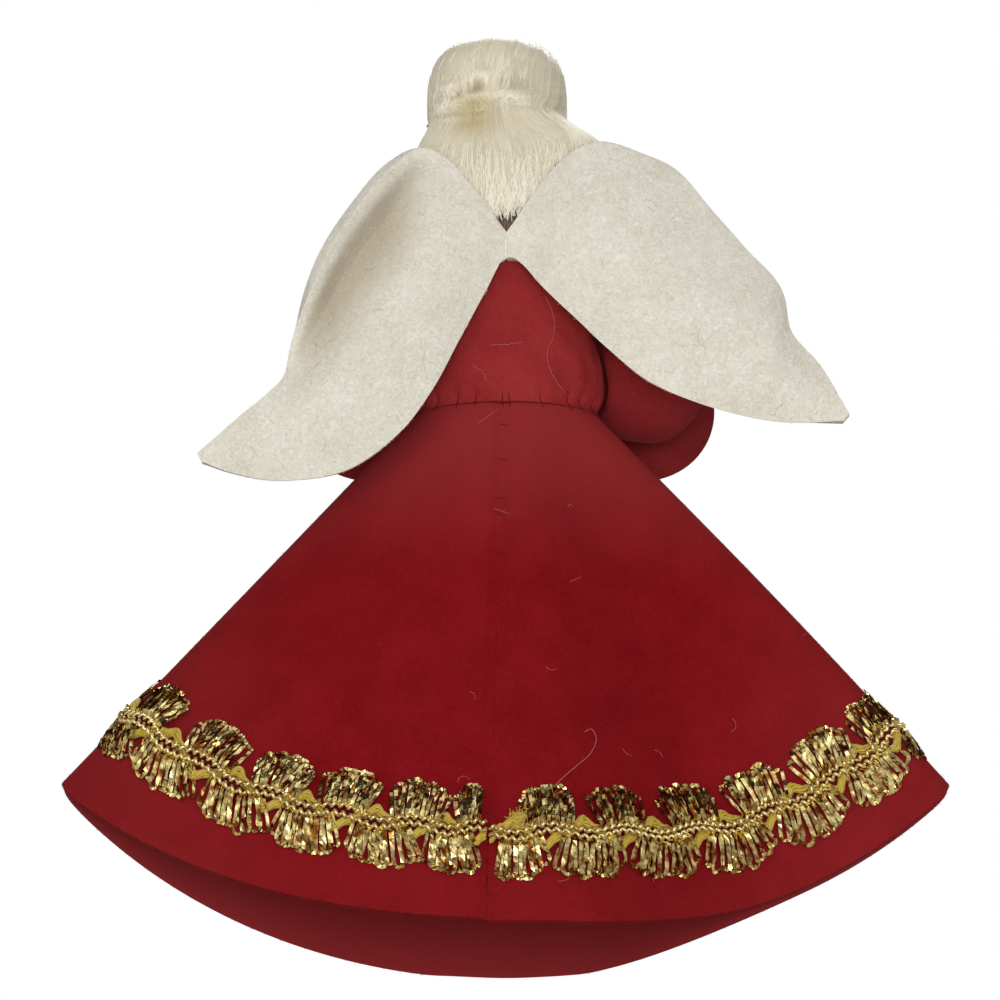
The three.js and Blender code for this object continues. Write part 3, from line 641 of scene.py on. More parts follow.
# Metal strip wound round a core: a bright point where each turn faces the light
gold_cord = two_shades(
    "plied_gold_cord", "#D4AE48", "#FFF4C4", 0.7, {"Metallic": 0.9, "Roughness": 0.26}, Detail=2.0)
cord_strips = []
for lane in (-CORD_LANE, CORD_LANE):
    path = []
    for along in braid_steps(int(BRAID_LENGTH / STRIP_TURN * 10)):
        twist = 2 * math.pi * along / STRIP_TURN * math.copysign(1, lane)
        above = cord_line(along) + lane + CORD_RADIUS * math.cos(twist)
        above += 0.15 * noise.noise(Vector((along / 3, lane, 0)))
        path.append(braid_point(along, above, CORD_RISE + CORD_RADIUS * math.sin(twist)))
    cord_strips.append(path)
cords = add_strands("braid_gold_cords", cord_strips, CORD_RADIUS, 1, gold_cord)
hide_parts("hem_gimp_cord")

# Soft spun rayon: satin, mottled where its filaments part
yellow_yarn = two_shades(
    "yellow_rayon_yarn", "#8C6C08", "#DCC034", 0.5, {"Roughness": 0.45, "Sheen Weight": 0.3},
    relief=(0.5, 0.1), Detail=3.0)
yarn_strands = []
for strand in range(YARN_STRANDS):
    path = []
    for along in braid_steps(int(BRAID_LENGTH * 3)):
        beat = (fan_phase(along) / (2 * math.pi) - 0.05) % 1
        shoulder = math.exp(-((beat - 0.5) / 0.09) ** 2) - math.exp(-(min(beat, 1 - beat) / 0.09) ** 2)
        swing = 0.9 * math.tanh(-3 * math.cos(2 * math.pi * beat)) + 1.3 * shoulder + cord_line(along)
        twist = 2 * math.pi * (along / 7 + strand / YARN_STRANDS)
        path.append(braid_point(along, swing + 0.55 * math.cos(twist), 1.0 + 0.4 * math.sin(twist)))
    yarn_strands.append(path)
add_strands("braid_yellow_yarn", yarn_strands, 0.2, 1, yellow_yarn)
frayed_ends = []
for k in range(FRAYED_FILAMENTS):
    along = BRAID_LENGTH - max(rng.gauss(4.2, 0.7), 1.6)
    above = rng.gauss(1.9, 0.45)
    heading = rng.uniform(0, 2 * math.pi)
    path = []
    for t in range(7):
        path.append(braid_point(along, above, 1.0 + 0.6 * math.sin(math.pi * (t + 1) / 8)))
        heading += rng.uniform(-0.6, 0.6)
        along += 0.2 * math.cos(heading)
        above += 0.2 * math.sin(heading)
    frayed_ends.append(path)
add_strands("braid_frayed_end", frayed_ends, 0.05, 0, yellow_yarn)

# Bodice: a tube of red felt, a shade paler than the skirt's, seated on the skirt's waist, packed with cotton
# so that it bulges, and drawn in at the neck. Each waist stitch pulls a dimple into it.
BODICE_SEAT_Z = 72.15
BODICE_HEIGHT = 30.15
BODICE_TUCK_SHARE = 0.12
BODICE_TUCK_HALF_WIDTH = 9.2
BODICE_TUCK_DEPTH = 4.65
WAIST_STITCHES = 24
bodice_felt = felt("red_wool_felt_bodice", "#842325", "#962F31", 0.04, "#E06060")
bodice_side = curve_through([
    (11.7, -0.1, 0), (12.6, 1.3, 0), (13.1, 3.2, 0), (13.0, 5.5, 0), (11.6, 11.0, 0), (10.0, 17.0, 0),
    (8.8, 22.35, 0), (7.6, 25.35, 0), (5.4, BODICE_HEIGHT, 0)])
rng = random.Random(5)
stitch_shares = [(k + 0.5 + rng.uniform(-0.4, 0.4)) / WAIST_STITCHES for k in range(WAIST_STITCHES)]


def bodice_depth(rise):
    # How deep the bodice is for its width: flat at the waist and rounder at the neck
    return 0.7 + 0.22 * smoothstep(rise, 6, BODICE_HEIGHT)


def bodice_point(turn, v, proud=0.0):
    angle = 2 * math.pi * turn
    if v < BODICE_TUCK_SHARE:
        half_width = BODICE_TUCK_HALF_WIDTH
        rise = -BODICE_TUCK_DEPTH + 4.7 * v / BODICE_TUCK_SHARE
    else:
        half_width, rise, _ = bodice_side((v - BODICE_TUCK_SHARE) / (1 - BODICE_TUCK_SHARE))
    aside = (turn % 1 - stitch_shares[int(turn % 1 * WAIST_STITCHES)]) * 2 * math.pi * half_width * 0.85
    dimple = 0.28 * math.exp(-(aside / 0.5) ** 2 - ((rise - 1.1) / 0.8) ** 2)
    gather = 0.14 * math.exp(-(aside / 0.45) ** 2 - (max(rise - 1, 0) / 2.6) ** 2) * smoothstep(rise, 0, 1)
    crumple = 0.35 * noise.noise(Vector((4 * math.cos(angle), 4 * math.sin(angle), rise / 4)))
    half_width += proud - dimple - gather + crumple * smoothstep(rise, 0.5, 4)
    half_depth = half_width * bodice_depth(rise)
    place = Vector((half_width * math.cos(angle), half_depth * math.sin(angle), rise))
    return (place + Vector((0, FIGURE_Y, BODICE_SEAT_Z))) * MM


bm = cloth_grid(260, 100, bodice_point)
close_seam(bm)
bodice = add_piece("felt_bodice", bm, bodice_felt, "figure")
thicken(bodice, RED_FELT, 0.3, even=False)
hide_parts("bodice")

# Waist stitches: overcast red thread that joins the bodice to the top edge of the skirt all round, drawn
# tight so that most of each stitch sinks into the felt.
waist_stitches = []
for share in stitch_shares:
    around = 360 * share
    if around > lap_turn(0):
        around -= 360
    waist_stitches.append([
        bodice_point(share, 0.161, -0.2), bodice_point(share, 0.154, 0.04), bodice_point(share, 0.138, 0.04),
        skirt_point(around + 0.5, 0.003, 0.06), skirt_point(around + 1.0, 0.012, -0.15)])
add_strands("waist_stitches", waist_stitches, 0.065, 1, red_thread)


def on_bodice_back(x, z, proud):
    v = min((k / 200 for k in range(26, 201)), key=lambda v: abs(bodice_point(0.25, v).z / MM - z))
    half_width = bodice_point(0, v).x / MM
    return bodice_point(math.acos(x / half_width) / (2 * math.pi), v, proud)


# Strays on the bodice: one long wool fibre that wanders down to the waist and a few short ones, caught in the
# felt of the back, with the loose end of a thread below the seam.
bodice_strays = []
for route in (
    [(-5.2, 87.0, 0.1), (-6.2, 84.0, 0.15), (-6.1, 81.0, 0.2), (-5.5, 78.6, 0.2), (-6.2, 75.4, 0.15),
     (-7.8, 73.4, 0.2)],
    [(-2.2, 80.0, 0.1), (-0.6, 79.7, 0.2), (2.0, 79.6, 0.1)],
    [(4.2, 76.6, 0.1), (3.0, 75.8, 0.25), (2.6, 74.4, 0.1)],
):
    line = curve_through(route)
    bodice_strays.append([on_bodice_back(*line(k / 24)) for k in range(25)])
thread_end = curve_through([(3.6, 68.9, 0.1), (2.2, 69.7, 0.5), (1.0, 70.9, 0.3)])
bodice_strays.append([on_skirt_back(*thread_end(k / 12)) for k in range(13)])
add_strands("bodice_strays", bodice_strays, 0.02, 0, pale_fibre)

# Cotton wadding: packed in the bodice and in the sleeves. Only its lumpy surface shows, at the open ends.
# Loose cotton: dull and tufted
cotton_wadding = two_shades(
    "cotton_wadding", "#CFC8B8", "#F4F0E6", 1.4, {"Roughness": 1.0, "Sheen Weight": 0.3},
    relief=(0.8, 0.4), Detail=5.0)


def finer_copy(node):
    bm = bmesh.new()
    bm.from_mesh(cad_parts[node].data)
    bmesh.ops.remove_doubles(bm, verts=bm.verts, dist=0.01 * MM)
    bmesh.ops.subdivide_edges(bm, edges=bm.edges, cuts=2, use_grid_fill=True)
    return bm


def wadding(name, node, body, fit=Vector):
    bm = finer_copy(node)
    bm.normal_update()
    for vertex in bm.verts:
        lump = noise.noise(vertex.co / (2.2 * MM)) + 0.5 * noise.noise(vertex.co / (0.9 * MM))
        vertex.co = fit(vertex.co + vertex.normal * (0.12 * lump - 0.1) * MM)
    piece = add_piece(name, bm, cotton_wadding, body)
    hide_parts(node)


wadding("bodice_wadding", "torso_filling", "figure")

# Arms: puffed sleeves of red felt with a bell cuff, hung on a thread at the shoulder and packed with cotton.
# A flesh-coloured felt mitten is set in each cuff.
SHOULDER_X = 12.7
SHOULDER_Z = 93.4
SLEEVE_CAP_SHARE = 0.06
SLEEVE_CAP_RISE = 1.6
ARM_HANG_BACK = math.radians(10)
ARM_ROOM = 0.55
WRIST_CREASE = 0.84
sleeve_stations = curve_through([
    (0, 0, 1.4, 3.2), (1.4, -0.6, -2.4, 4.4), (4.5, -3, -7.4, 6.0), (6.0, -6.6, -15.0, 8.2),
    (6.3, -12.5, -14.6, 5.6), (5.9, -20.5, -14.6, 10.0)], by_length=False)
sleeve_middles = [sleeve_stations(k / 120) for k in range(121)]
bodice_girths = [bodice_side(k / 80) for k in range(81)]


def bodice_flank(y, z):
    # How far the bodice comes out to the side at this depth and height
    rise = z - BODICE_SEAT_Z
    half_width = min(bodice_girths, key=lambda girth: abs(girth.y - rise)).x
    half_depth = half_width * bodice_depth(rise)
    return half_width * math.sqrt(max(1 - ((y - FIGURE_Y) / half_depth) ** 2, 0))


def clear_of_bodice(place):
    # The inner side is flattened, so that the arm can hang back without cutting into the bodice
    for swing in (0, 0.5 * ARM_HANG_BACK, ARM_HANG_BACK):
        y = place.y * math.cos(swing) - place.z * math.sin(swing)
        z = place.y * math.sin(swing) + place.z * math.cos(swing)
        place.x = max(place.x, bodice_flank(y + FIGURE_Y, z + SHOULDER_Z) + ARM_ROOM - SHOULDER_X)
    return place


def from_shoulder(side, place):
    return Vector((side * (SHOULDER_X + place.x), place.y + FIGURE_Y, SHOULDER_Z + place.z)) * MM


def sleeve_point(side, around, v):
    run = max(v - SLEEVE_CAP_SHARE, 0) / (1 - SLEEVE_CAP_SHARE)
    station = sleeve_stations(run)
    tangent = (sleeve_stations(min(run + 0.01, 1)) - sleeve_stations(max(run - 0.01, 0))).to_3d().normalized()
    sideways = Vector((1, 0, 0))
    sideways = (sideways - tangent * sideways.dot(tangent)).normalized()
    upward = tangent.cross(sideways)
    cap = max(SLEEVE_CAP_SHARE - v, 0) / SLEEVE_CAP_SHARE
    angle = 2 * math.pi * around
    spoke = sideways * math.cos(angle) + upward * math.sin(angle)
    crumple = noise.noise(spoke * 1.6 + Vector((7 * run, side, 0)))
    folds = math.sin(26 * run + 2 * math.cos(angle))
    folds *= smoothstep(run, 0.3, 0.5) * (1 - smoothstep(run, 0.62, 0.8))
    radius = station.w * math.sqrt(max(1 - cap * cap, 0))
    radius += (0.45 * crumple + 0.22 * folds) * (1 - cap) * (1 - run ** 4)
    place = station.to_3d() + spoke * radius - tangent * SLEEVE_CAP_RISE * cap
    return from_shoulder(side, clear_of_bodice(place))


def inside_sleeve(side, place):
    # The cotton is drawn in with the felt at the wrist
    local = Vector((side * place.x / MM - SHOULDER_X, place.y / MM - FIGURE_Y, place.z / MM - SHOULDER_Z))
    station = min(sleeve_middles, key=lambda station: (station.to_3d() - local).length)
    spoke = local - station.to_3d()
    spoke *= min((station.w - RED_FELT - 0.4) / max(spoke.length, 0.01), 1)
    local = clear_of_bodice(station.to_3d() + spoke - Vector((RED_FELT, 0, 0))) + Vector((RED_FELT, 0, 0))
    return from_shoulder(side, local)


def dress_node(node, material):
    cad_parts[node].data.materials.clear()
    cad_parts[node].data.materials.append(material)


# The sleeves' felt is the bodice's felt made a shade darker, as painted shade; its third colour, a near-black
# red, is painted shade.
sleeve_felt = felt("red_wool_felt_sleeve", "#781F21", "#88292B", 0.03, "#E06060", painted_shading_colour="#3A0A0C")
skin_felt = felt("flesh_wool_felt", "#D99C78", "#EDB994", 0.15, "#FFE0D0")
for side, name, body in ((-1, "right", "right_arm"), (1, "left", "left_arm")):
    bm = cloth_grid(72, 90, lambda u, v: Vector((u, v, 0)))
    painted_shading = bm.verts.layers.float.new("painted_shading")
    for vertex in bm.verts:
        around, v, _ = vertex.co
        # Painted shade: a band of near-black red round the crease between the puff and the cuff.
        vertex[painted_shading] = 0.75 * math.exp(-((v - WRIST_CREASE) / 0.055) ** 2)
        vertex.co = sleeve_point(side, around, v)
    close_seam(bm)
    elbow_face = min(bm.faces, key=lambda face: face.calc_center_median().z)
    turn_faces(bm, elbow_face, Vector((0, 0, -1)))
    sleeve = add_piece(f"felt_sleeve_{name}", bm, sleeve_felt, body)
    thicken(sleeve, RED_FELT, 0.35, even=False)
    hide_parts(f"sleeve_{name}")
    wadding(f"sleeve_wadding_{name}", f"arm_filling_{name}", body, lambda place: inside_sleeve(side, place))

    bm = finer_copy(f"hand_{name}")
    for _ in range(8):
        bmesh.ops.smooth_vert(
            bm, verts=bm.verts, factor=0.5, use_axis_x=True, use_axis_y=True, use_axis_z=True)
    mitten = add_piece(f"felt_mitten_{name}", bm, skin_felt, body)
    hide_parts(f"hand_{name}")
    dress_node(f"shoulder_thread_{name}", red_thread)

# Head: a turned wooden bead on a bare dowel, painted flesh colour. Its face is a plain doll's face in paint:
# two dots for eyes, thin brows, a small red mouth and rosy cheeks.
HEAD_X = 1.2
HEAD_Z = 113.6
HEAD_HALF = 8.0
HEAD_HALF_HEIGHT = 9.5
EYE_X = 2.75
EYE_Z = 113.4
LIPS_Z = 109.2
BROWS_Z = 115.6
dowel_beech, tree = new_material("bare_beech_dowel")
# Bare beech: long fine grain, with no shine
beech_where = add_node(tree, "ShaderNodeTexCoord").outputs["Object"]
beech_stretch = add_node(tree, "ShaderNodeMapping", {
    "Vector": beech_where, "Scale": (1 / (0.6 * MM), 1 / (0.6 * MM), 1 / (6 * MM))})
beech_grain = add_node(tree, "ShaderNodeTexNoise", {
    "Vector": beech_stretch.outputs[0], "Scale": 1.0, "Detail": 3.0})
beech_tint = add_node(tree, "ShaderNodeMix", {
    0: beech_grain.outputs["Fac"], 6: to_linear("#B98F62"), 7: to_linear("#DDBB8E")}, data_type="RGBA")
beech = add_node(tree, "ShaderNodeBsdfPrincipled", {"Base Color": beech_tint.outputs[2], "Roughness": 0.6})
add_node(tree, "ShaderNodeOutputMaterial", {"Surface": beech.outputs[0]})
dress_node("neck_peg", dowel_beech)

head_middle = Vector((HEAD_X, FIGURE_Y, HEAD_Z))
bm = bmesh.new()
bmesh.ops.create_uvsphere(bm, u_segments=64, v_segments=48, radius=1)
blush = bm.verts.layers.float.new("blush")
for vertex in bm.verts:
    way = vertex.co.copy()
    cheek = min((way - Vector((s * 0.55, -0.78, -0.26)).normalized()).length for s in (-1, 1))
    vertex[blush] = math.exp(-(cheek / 0.2) ** 2)
    nose = math.exp(-((way - Vector((0, -0.99, -0.08)).normalized()).length / 0.11) ** 2)
    chin = math.exp(-((way - Vector((0, -0.8, -0.6)).normalized()).length / 0.3) ** 2)
    swell = 1 + 0.07 * nose + 0.02 * chin
    place = head_middle + Vector((way.x * HEAD_HALF, way.y * HEAD_HALF, way.z * HEAD_HALF_HEIGHT)) * swell
    vertex.co = place * MM
flesh_paint, tree = new_material("flesh_paint_on_wood")
# Brushed satin paint: even, with rosy cheeks and the faint lines of the brush
rosy = add_node(tree, "ShaderNodeAttribute", attribute_name="blush")
paint_where = add_node(tree, "ShaderNodeTexCoord").outputs["Object"]
brush = add_node(tree, "ShaderNodeTexNoise", {"Vector": paint_where, "Scale": 1 / (1.5 * MM), "Detail": 3.0})
flesh_tint = add_node(tree, "ShaderNodeMix", {
    0: rosy.outputs["Fac"], 6: to_linear("#EFC3A2"), 7: to_linear("#D9796C")}, data_type="RGBA")
brush_relief = add_node(tree, "ShaderNodeBump", {
    "Height": brush.outputs["Fac"], "Strength": 0.15, "Distance": 0.1 * MM})
flesh = add_node(tree, "ShaderNodeBsdfPrincipled", {
    "Base Color": flesh_tint.outputs[2], "Roughness": 0.42, "Normal": brush_relief.outputs[0]})
add_node(tree, "ShaderNodeOutputMaterial", {"Surface": flesh.outputs[0]})
head = add_piece("painted_head", bm, flesh_paint, "figure")
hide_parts("head_bead")


def face_place(x, z, proud):
    rise = (z - HEAD_Z) / HEAD_HALF_HEIGHT
    depth = math.sqrt(max(1 - (x / HEAD_HALF) ** 2 - rise ** 2, 0.01)) * HEAD_HALF
    return Vector((HEAD_X + x, FIGURE_Y - depth - proud, z)) * MM


def face_paint(name, colour):
    # Glossy paint from a fine brush: one colour, with its strokes raised
    material, tree = new_material(name)
    where = add_node(tree, "ShaderNodeTexCoord").outputs["Object"]
    strokes = add_node(tree, "ShaderNodeTexNoise", {"Vector": where, "Scale": 1 / (0.4 * MM), "Detail": 2.0})
    relief = add_node(tree, "ShaderNodeBump", {
        "Height": strokes.outputs["Fac"], "Strength": 0.2, "Distance": 0.05 * MM})
    paint = add_node(tree, "ShaderNodeBsdfPrincipled", {
        "Base Color": to_linear(colour), "Roughness": 0.3, "Normal": relief.outputs[0]})
    add_node(tree, "ShaderNodeOutputMaterial", {"Surface": paint.outputs[0]})
    return material


eye_paint = face_paint("brown_eye_paint", "#2C1A12")
lip_paint = face_paint("red_lip_paint", "#B03038")
brow_paint = face_paint("light_brown_brow_paint", "#A5805A")
bm = bmesh.new()
for side in (-1, 1):
    eye = bmesh.ops.create_uvsphere(bm, u_segments=20, v_segments=12, radius=1)
    for vertex in eye["verts"]:
        flat = vertex.co.copy()
        vertex.co = face_place(EYE_X * side + 0.72 * flat.x, EYE_Z + 0.95 * flat.z, 0.12 - 0.14 * flat.y)
add_piece("painted_eyes", bm, eye_paint, "figure")
lips = [[face_place(-1.5 + 3 * k / 12, LIPS_Z - 0.55 * math.sin(math.pi * k / 12), 0.06) for k in range(13)]]
add_strands("painted_lips", lips, 0.22, 2, lip_paint)
brows = []
for side in (-1, 1):
    brows.append([
        face_place(side * (1.7 + 2.2 * k / 8), BROWS_Z + 0.5 * math.sin(math.pi * k / 8), 0.04)
        for k in range(9)])
add_strands("painted_brows", brows, 0.14, 2, brow_paint)

# Hair: pale silky floss laid over the crown, drawn together and tied at the back of the head with a dab of
# glue, and left to fan out below the tie to cut ends.
CAP_HALF_WIDTH = 9.4
CAP_HALF_DEPTH = 9.6
CAP_WIDEST_Z = 115.2
CAP_HEIGHT = 9.5
CAP_SQUARENESS = 0.66
CREASE_Z = 113.3
TIE = Vector((4.5, 13.0, 112.1))
TIE_ANGLE = math.atan2(TIE.y - FIGURE_Y, TIE.x - HEAD_X)
FALL_SWEEP = 112
FALL_TIP_Z = 97
FALL_FRONT_SLANT = 11
CAP_STRANDS = 300
FALL_STRANDS = 1100
STRANDS_OVER_TIE = 420
HIGHLIGHT_STRANDS = 700
TUFT_STRANDS = 90
UNDER_STRANDS = 170
UNDER_TOP_Z = 101.5
# Hollows and tufts of the bound floss: place, half width, half height and rise
floss_lumps = [
    (4.0, 115.7, 0.75, 0.7, -1.2), (6.7, 115.1, 0.6, 0.5, -0.9), (8.0, 116.3, 1.4, 0.6, 0.4),
    (3.2, 117.4, 1.3, 0.8, 0.4), (7.8, 113.4, 1.8, 1.2, 0.9), (-0.8, 114.1, 2.2, 1.1, 1.0),
    (4.6, 112.2, 2.0, 1.3, -0.4), (4.4, 114.2, 1.2, 0.7, 0.5)]


def silk_floss(name, deep, pale):
    # Filament silk: glossy lines that all run to the tie, cream in the hollows, yellow where the glue took
    material, tree = new_material(name)
    where = add_node(tree, "ShaderNodeTexCoord").outputs["Object"]
    from_tie = add_node(tree, "ShaderNodeMapping", {"Vector": where, "Location": -TIE * MM})
    tie_axes = add_node(tree, "ShaderNodeSeparateXYZ", {0: from_tie.outputs[0]})
    lay = add_node(tree, "ShaderNodeMath", {
        0: tie_axes.outputs["Z"], 1: tie_axes.outputs["X"]}, operation="ARCTAN2")
    far = add_node(tree, "ShaderNodeVectorMath", {0: from_tie.outputs[0]}, operation="LENGTH")
    strand_count = add_node(tree, "ShaderNodeMath", {0: lay.outputs[0], 1: 30.0}, operation="MULTIPLY")
    strand_run = add_node(tree, "ShaderNodeMath", {
        0: far.outputs["Value"], 1: 1 / (5 * MM)}, operation="MULTIPLY")
    strand_axes = add_node(tree, "ShaderNodeCombineXYZ", {
        0: strand_count.outputs[0], 1: strand_run.outputs[0]})
    lines = add_node(tree, "ShaderNodeTexNoise", {
        "Vector": strand_axes.outputs[0], "Scale": 1.0, "Detail": 4.0, "Roughness": 0.7})
    tint = add_node(tree, "ShaderNodeMix", {
        0: lines.outputs["Fac"], 6: to_linear(deep), 7: to_linear(pale)}, data_type="RGBA")
    glue_near = add_node(tree, "ShaderNodeMapRange", {
        "Value": far.outputs["Value"], "From Min": 0.5 * MM, "From Max": 4.5 * MM,
        "To Min": 0.75, "To Max": 0.0})
    stained = add_node(tree, "ShaderNodeMix", {
        0: glue_near.outputs[0], 6: tint.outputs[2], 7: to_linear("#C4AE74")}, data_type="RGBA")
    relief = add_node(tree, "ShaderNodeBump", {
        "Height": lines.outputs["Fac"], "Strength": 0.4, "Distance": 0.12 * MM})
    silk = add_node(tree, "ShaderNodeBsdfPrincipled", {
        "Base Color": stained.outputs[2], "Roughness": 0.28, "Specular IOR Level": 0.6, "Sheen Weight": 0.15,
        "Sheen Roughness": 0.4, "Normal": relief.outputs[0]})
    add_node(tree, "ShaderNodeOutputMaterial", {"Surface": silk.outputs[0]})
    return material


pale_floss = silk_floss("pale_silk_floss", "#CFC6AC", "#E8E1CC")
# A lighter copy of the floss, laid on as painted highlight.
highlight_floss = silk_floss("painted_highlight_silk_floss", "#E6DFC8", "#FFFBEC")


def tie_pull(angle):
    apart = (angle - TIE_ANGLE + math.pi) % (2 * math.pi) - math.pi
    return math.exp(-(apart / 0.75) ** 2)


def lumped(place):
    if place.y > FIGURE_Y:
        outward = Vector((place.x - HEAD_X, place.y - FIGURE_Y, 0.3 * (place.z - HEAD_Z))).normalized()
        for x, z, wide, tall, rise in floss_lumps:
            near = math.exp(-((place.x - x) / wide) ** 2 - ((place.z - z) / tall) ** 2)
            place = place + outward * rise * near
    return place


def crease_ring(angle):
    # How far the tie draws the floss in, as a share of the crown's width, and the height of the crease
    pull = tie_pull(angle)
    return 1 - 0.07 * pull - 0.03 * smoothstep(math.cos(angle), -0.2, 0.6), CREASE_Z - 1.1 * pull


def cap_point(turn, v, proud=0.0):
    angle = 2 * math.pi * turn
    lean = 0.5 * math.pi * min(v / 0.8, 1)
    tuck = max(v - 0.8, 0) / 0.2
    drawn, crease = crease_ring(angle)
    radius = math.sin(lean) ** CAP_SQUARENESS * (1 - (1 - drawn) * (1 - math.cos(0.5 * math.pi * tuck)))
    height = CAP_WIDEST_Z + CAP_HEIGHT * math.cos(lean) ** CAP_SQUARENESS + (crease - CAP_WIDEST_Z) * tuck
    clump = 0.02 * noise.noise(Vector((5 * math.cos(angle), 5 * math.sin(angle), 2 * v)))
    radius *= 1 + clump * smoothstep(v, 0.15, 0.5) * (1 - tuck)
    place = Vector((
        HEAD_X + (CAP_HALF_WIDTH * radius + proud) * math.cos(angle),
        FIGURE_Y + (CAP_HALF_DEPTH * radius + proud) * math.sin(angle),
        height + proud * max(0, 1 - radius)))
    return lumped(place) * MM


def cap_reach(turn):
    # The floss ends over the forehead, and goes down to the tie at the sides and back
    brow = smoothstep(math.sin(2 * math.pi * turn), -0.12, -0.36)
    return 1.0 - 0.44 * brow


def fall_point(share, v, proud=0.0):
    turn = 2 * share - 1
    front_edge = smoothstep(abs(turn), 0.8, 1)
    slanted = math.copysign(FALL_FRONT_SLANT, turn) * front_edge * (1 - smoothstep(v, -0.1, 0.8))
    angle = math.radians(FALL_SWEEP * turn - slanted)
    drawn, top = crease_ring(math.pi / 2 - angle)
    foot = FALL_TIP_Z + 7 * abs(turn) ** 1.2
    side_flare = 1.7 * smoothstep(v, 0, 0.6) if turn > 0 else 4.8 * smoothstep(v, -0.05, 0.38)
    side_flare *= 1 - 0.6 * front_edge
    swell = 0.6 * smoothstep(v, 0, 0.25) + proud
    clump = 0.25 * noise.noise(Vector((10 * turn, 2 * v, 3))) * smoothstep(v, 0.05, 0.4)
    place = Vector((
        HEAD_X + (CAP_HALF_WIDTH * drawn + swell + side_flare + clump) * math.sin(angle),
        FIGURE_Y + (CAP_HALF_DEPTH * drawn + swell + 0.2 * smoothstep(v, 0, 0.6) + clump) * math.cos(angle),
        top + (foot - top) * v))
    return lumped(place) * MM


def cap_with_lip(turn, v):
    # The last of the crown's floss passes over the tie and lies flat on the fall
    reach = cap_reach(turn)
    lip = max(v - 0.92, 0) / 0.08
    place = cap_point(turn, min(v / 0.92, 1) * reach)
    if lip == 0 or reach < 0.97:
        return place
    share = 0.5 + 180 * (0.25 - turn + math.floor(turn + 0.25)) / FALL_SWEEP
    return place.lerp(fall_point(share, 0.08 * lip, 0.03 - 0.05 * lip), smoothstep(reach, 0.97, 1))


def floss_depth(piece, depth):
    wall = piece.modifiers.new("floss_depth", "SOLIDIFY")
    wall.thickness = depth * MM
    wall.offset = -1


bm = cloth_grid(220, 92, cap_with_lip)
close_seam(bm)
cap = add_piece("floss_cap", bm, pale_floss, "figure")
floss_depth(cap, 0.6)
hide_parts("hair_cap")
rng = random.Random(21)
cap_strands = []
for k in range(CAP_STRANDS):
    turn = rng.uniform(-0.31, 0.69)
    start = rng.uniform(0.02, 0.8)
    reach = cap_reach(turn)
    end_turn = TIE_ANGLE / (2 * math.pi) + rng.gauss(0, 0.018) + 0.18 * (turn - TIE_ANGLE / (2 * math.pi))
    if reach < 0.9:
        end_turn = turn
    proud = rng.uniform(0.0, 0.04)
    path = []
    for t in range(15):
        down = t / 14
        path.append(cap_point(
            turn + (end_turn - turn) * down ** 1.6, min((start + (1 - start) * down) * reach, 0.995),
            proud * math.sin(math.pi * (t + 1) / 16)))
    cap_strands.append(path)
add_strands("floss_cap_strands", cap_strands, 0.035, 0, pale_floss)

bm = cloth_grid(200, 60, lambda u, v: fall_point(u, v * (0.93 + 0.03 * noise.noise(Vector((30 * u, 0, 0))))))
bmesh.ops.recalc_face_normals(bm, faces=bm.faces)
back_face = max(bm.faces, key=lambda face: face.calc_center_median().y)
turn_faces(bm, back_face, Vector((0, 1, 0)))
fall = add_piece("floss_fall", bm, pale_floss, "figure")
floss_depth(fall, 0.8)
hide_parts("hair_fall")
tie_share = 0.5 + 0.5 * math.degrees(math.pi / 2 - TIE_ANGLE) / FALL_SWEEP
fall_strands = []
for k in range(FALL_STRANDS):
    share = rng.random()
    start_share = tie_share + (share - tie_share) * rng.uniform(0.15, 0.9)
    proud = rng.uniform(0.0, 0.13)
    end = 0.96 + 0.08 * noise.noise(Vector((26 * share, 5, 0))) + rng.uniform(-0.08, 0.08)
    fall_strands.append([
        fall_point(start_share + (share - start_share) * (t / 12) ** 0.8, 0.02 + (end - 0.02) * t / 12,
                   proud * smoothstep(t / 12, 0, 0.5))
        for t in range(13)])
for k in range(STRANDS_OVER_TIE):
    share = rng.uniform(0.06, 0.94)
    proud = rng.uniform(0.02, 0.1)
    path = []
    above_tie = 0.12 if abs(share - tie_share) < 0.12 else 0.45
    for t in range(15):
        run = (0.55 + above_tie) * t / 14 - above_tie
        near = min(max(tie_share + (share - tie_share) * (1 + 0.5 * abs(run)), 0.05), 0.95)
        if run < 0:
            turn = 0.25 - FALL_SWEEP * (2 * near - 1) / 360
            path.append(cap_point(turn, 1 + 0.8 * run, proud))
        else:
            path.append(fall_point(near, run, proud))
    fall_strands.append(path)
add_strands("floss_fall_strands", fall_strands, 0.04, 0, pale_floss)

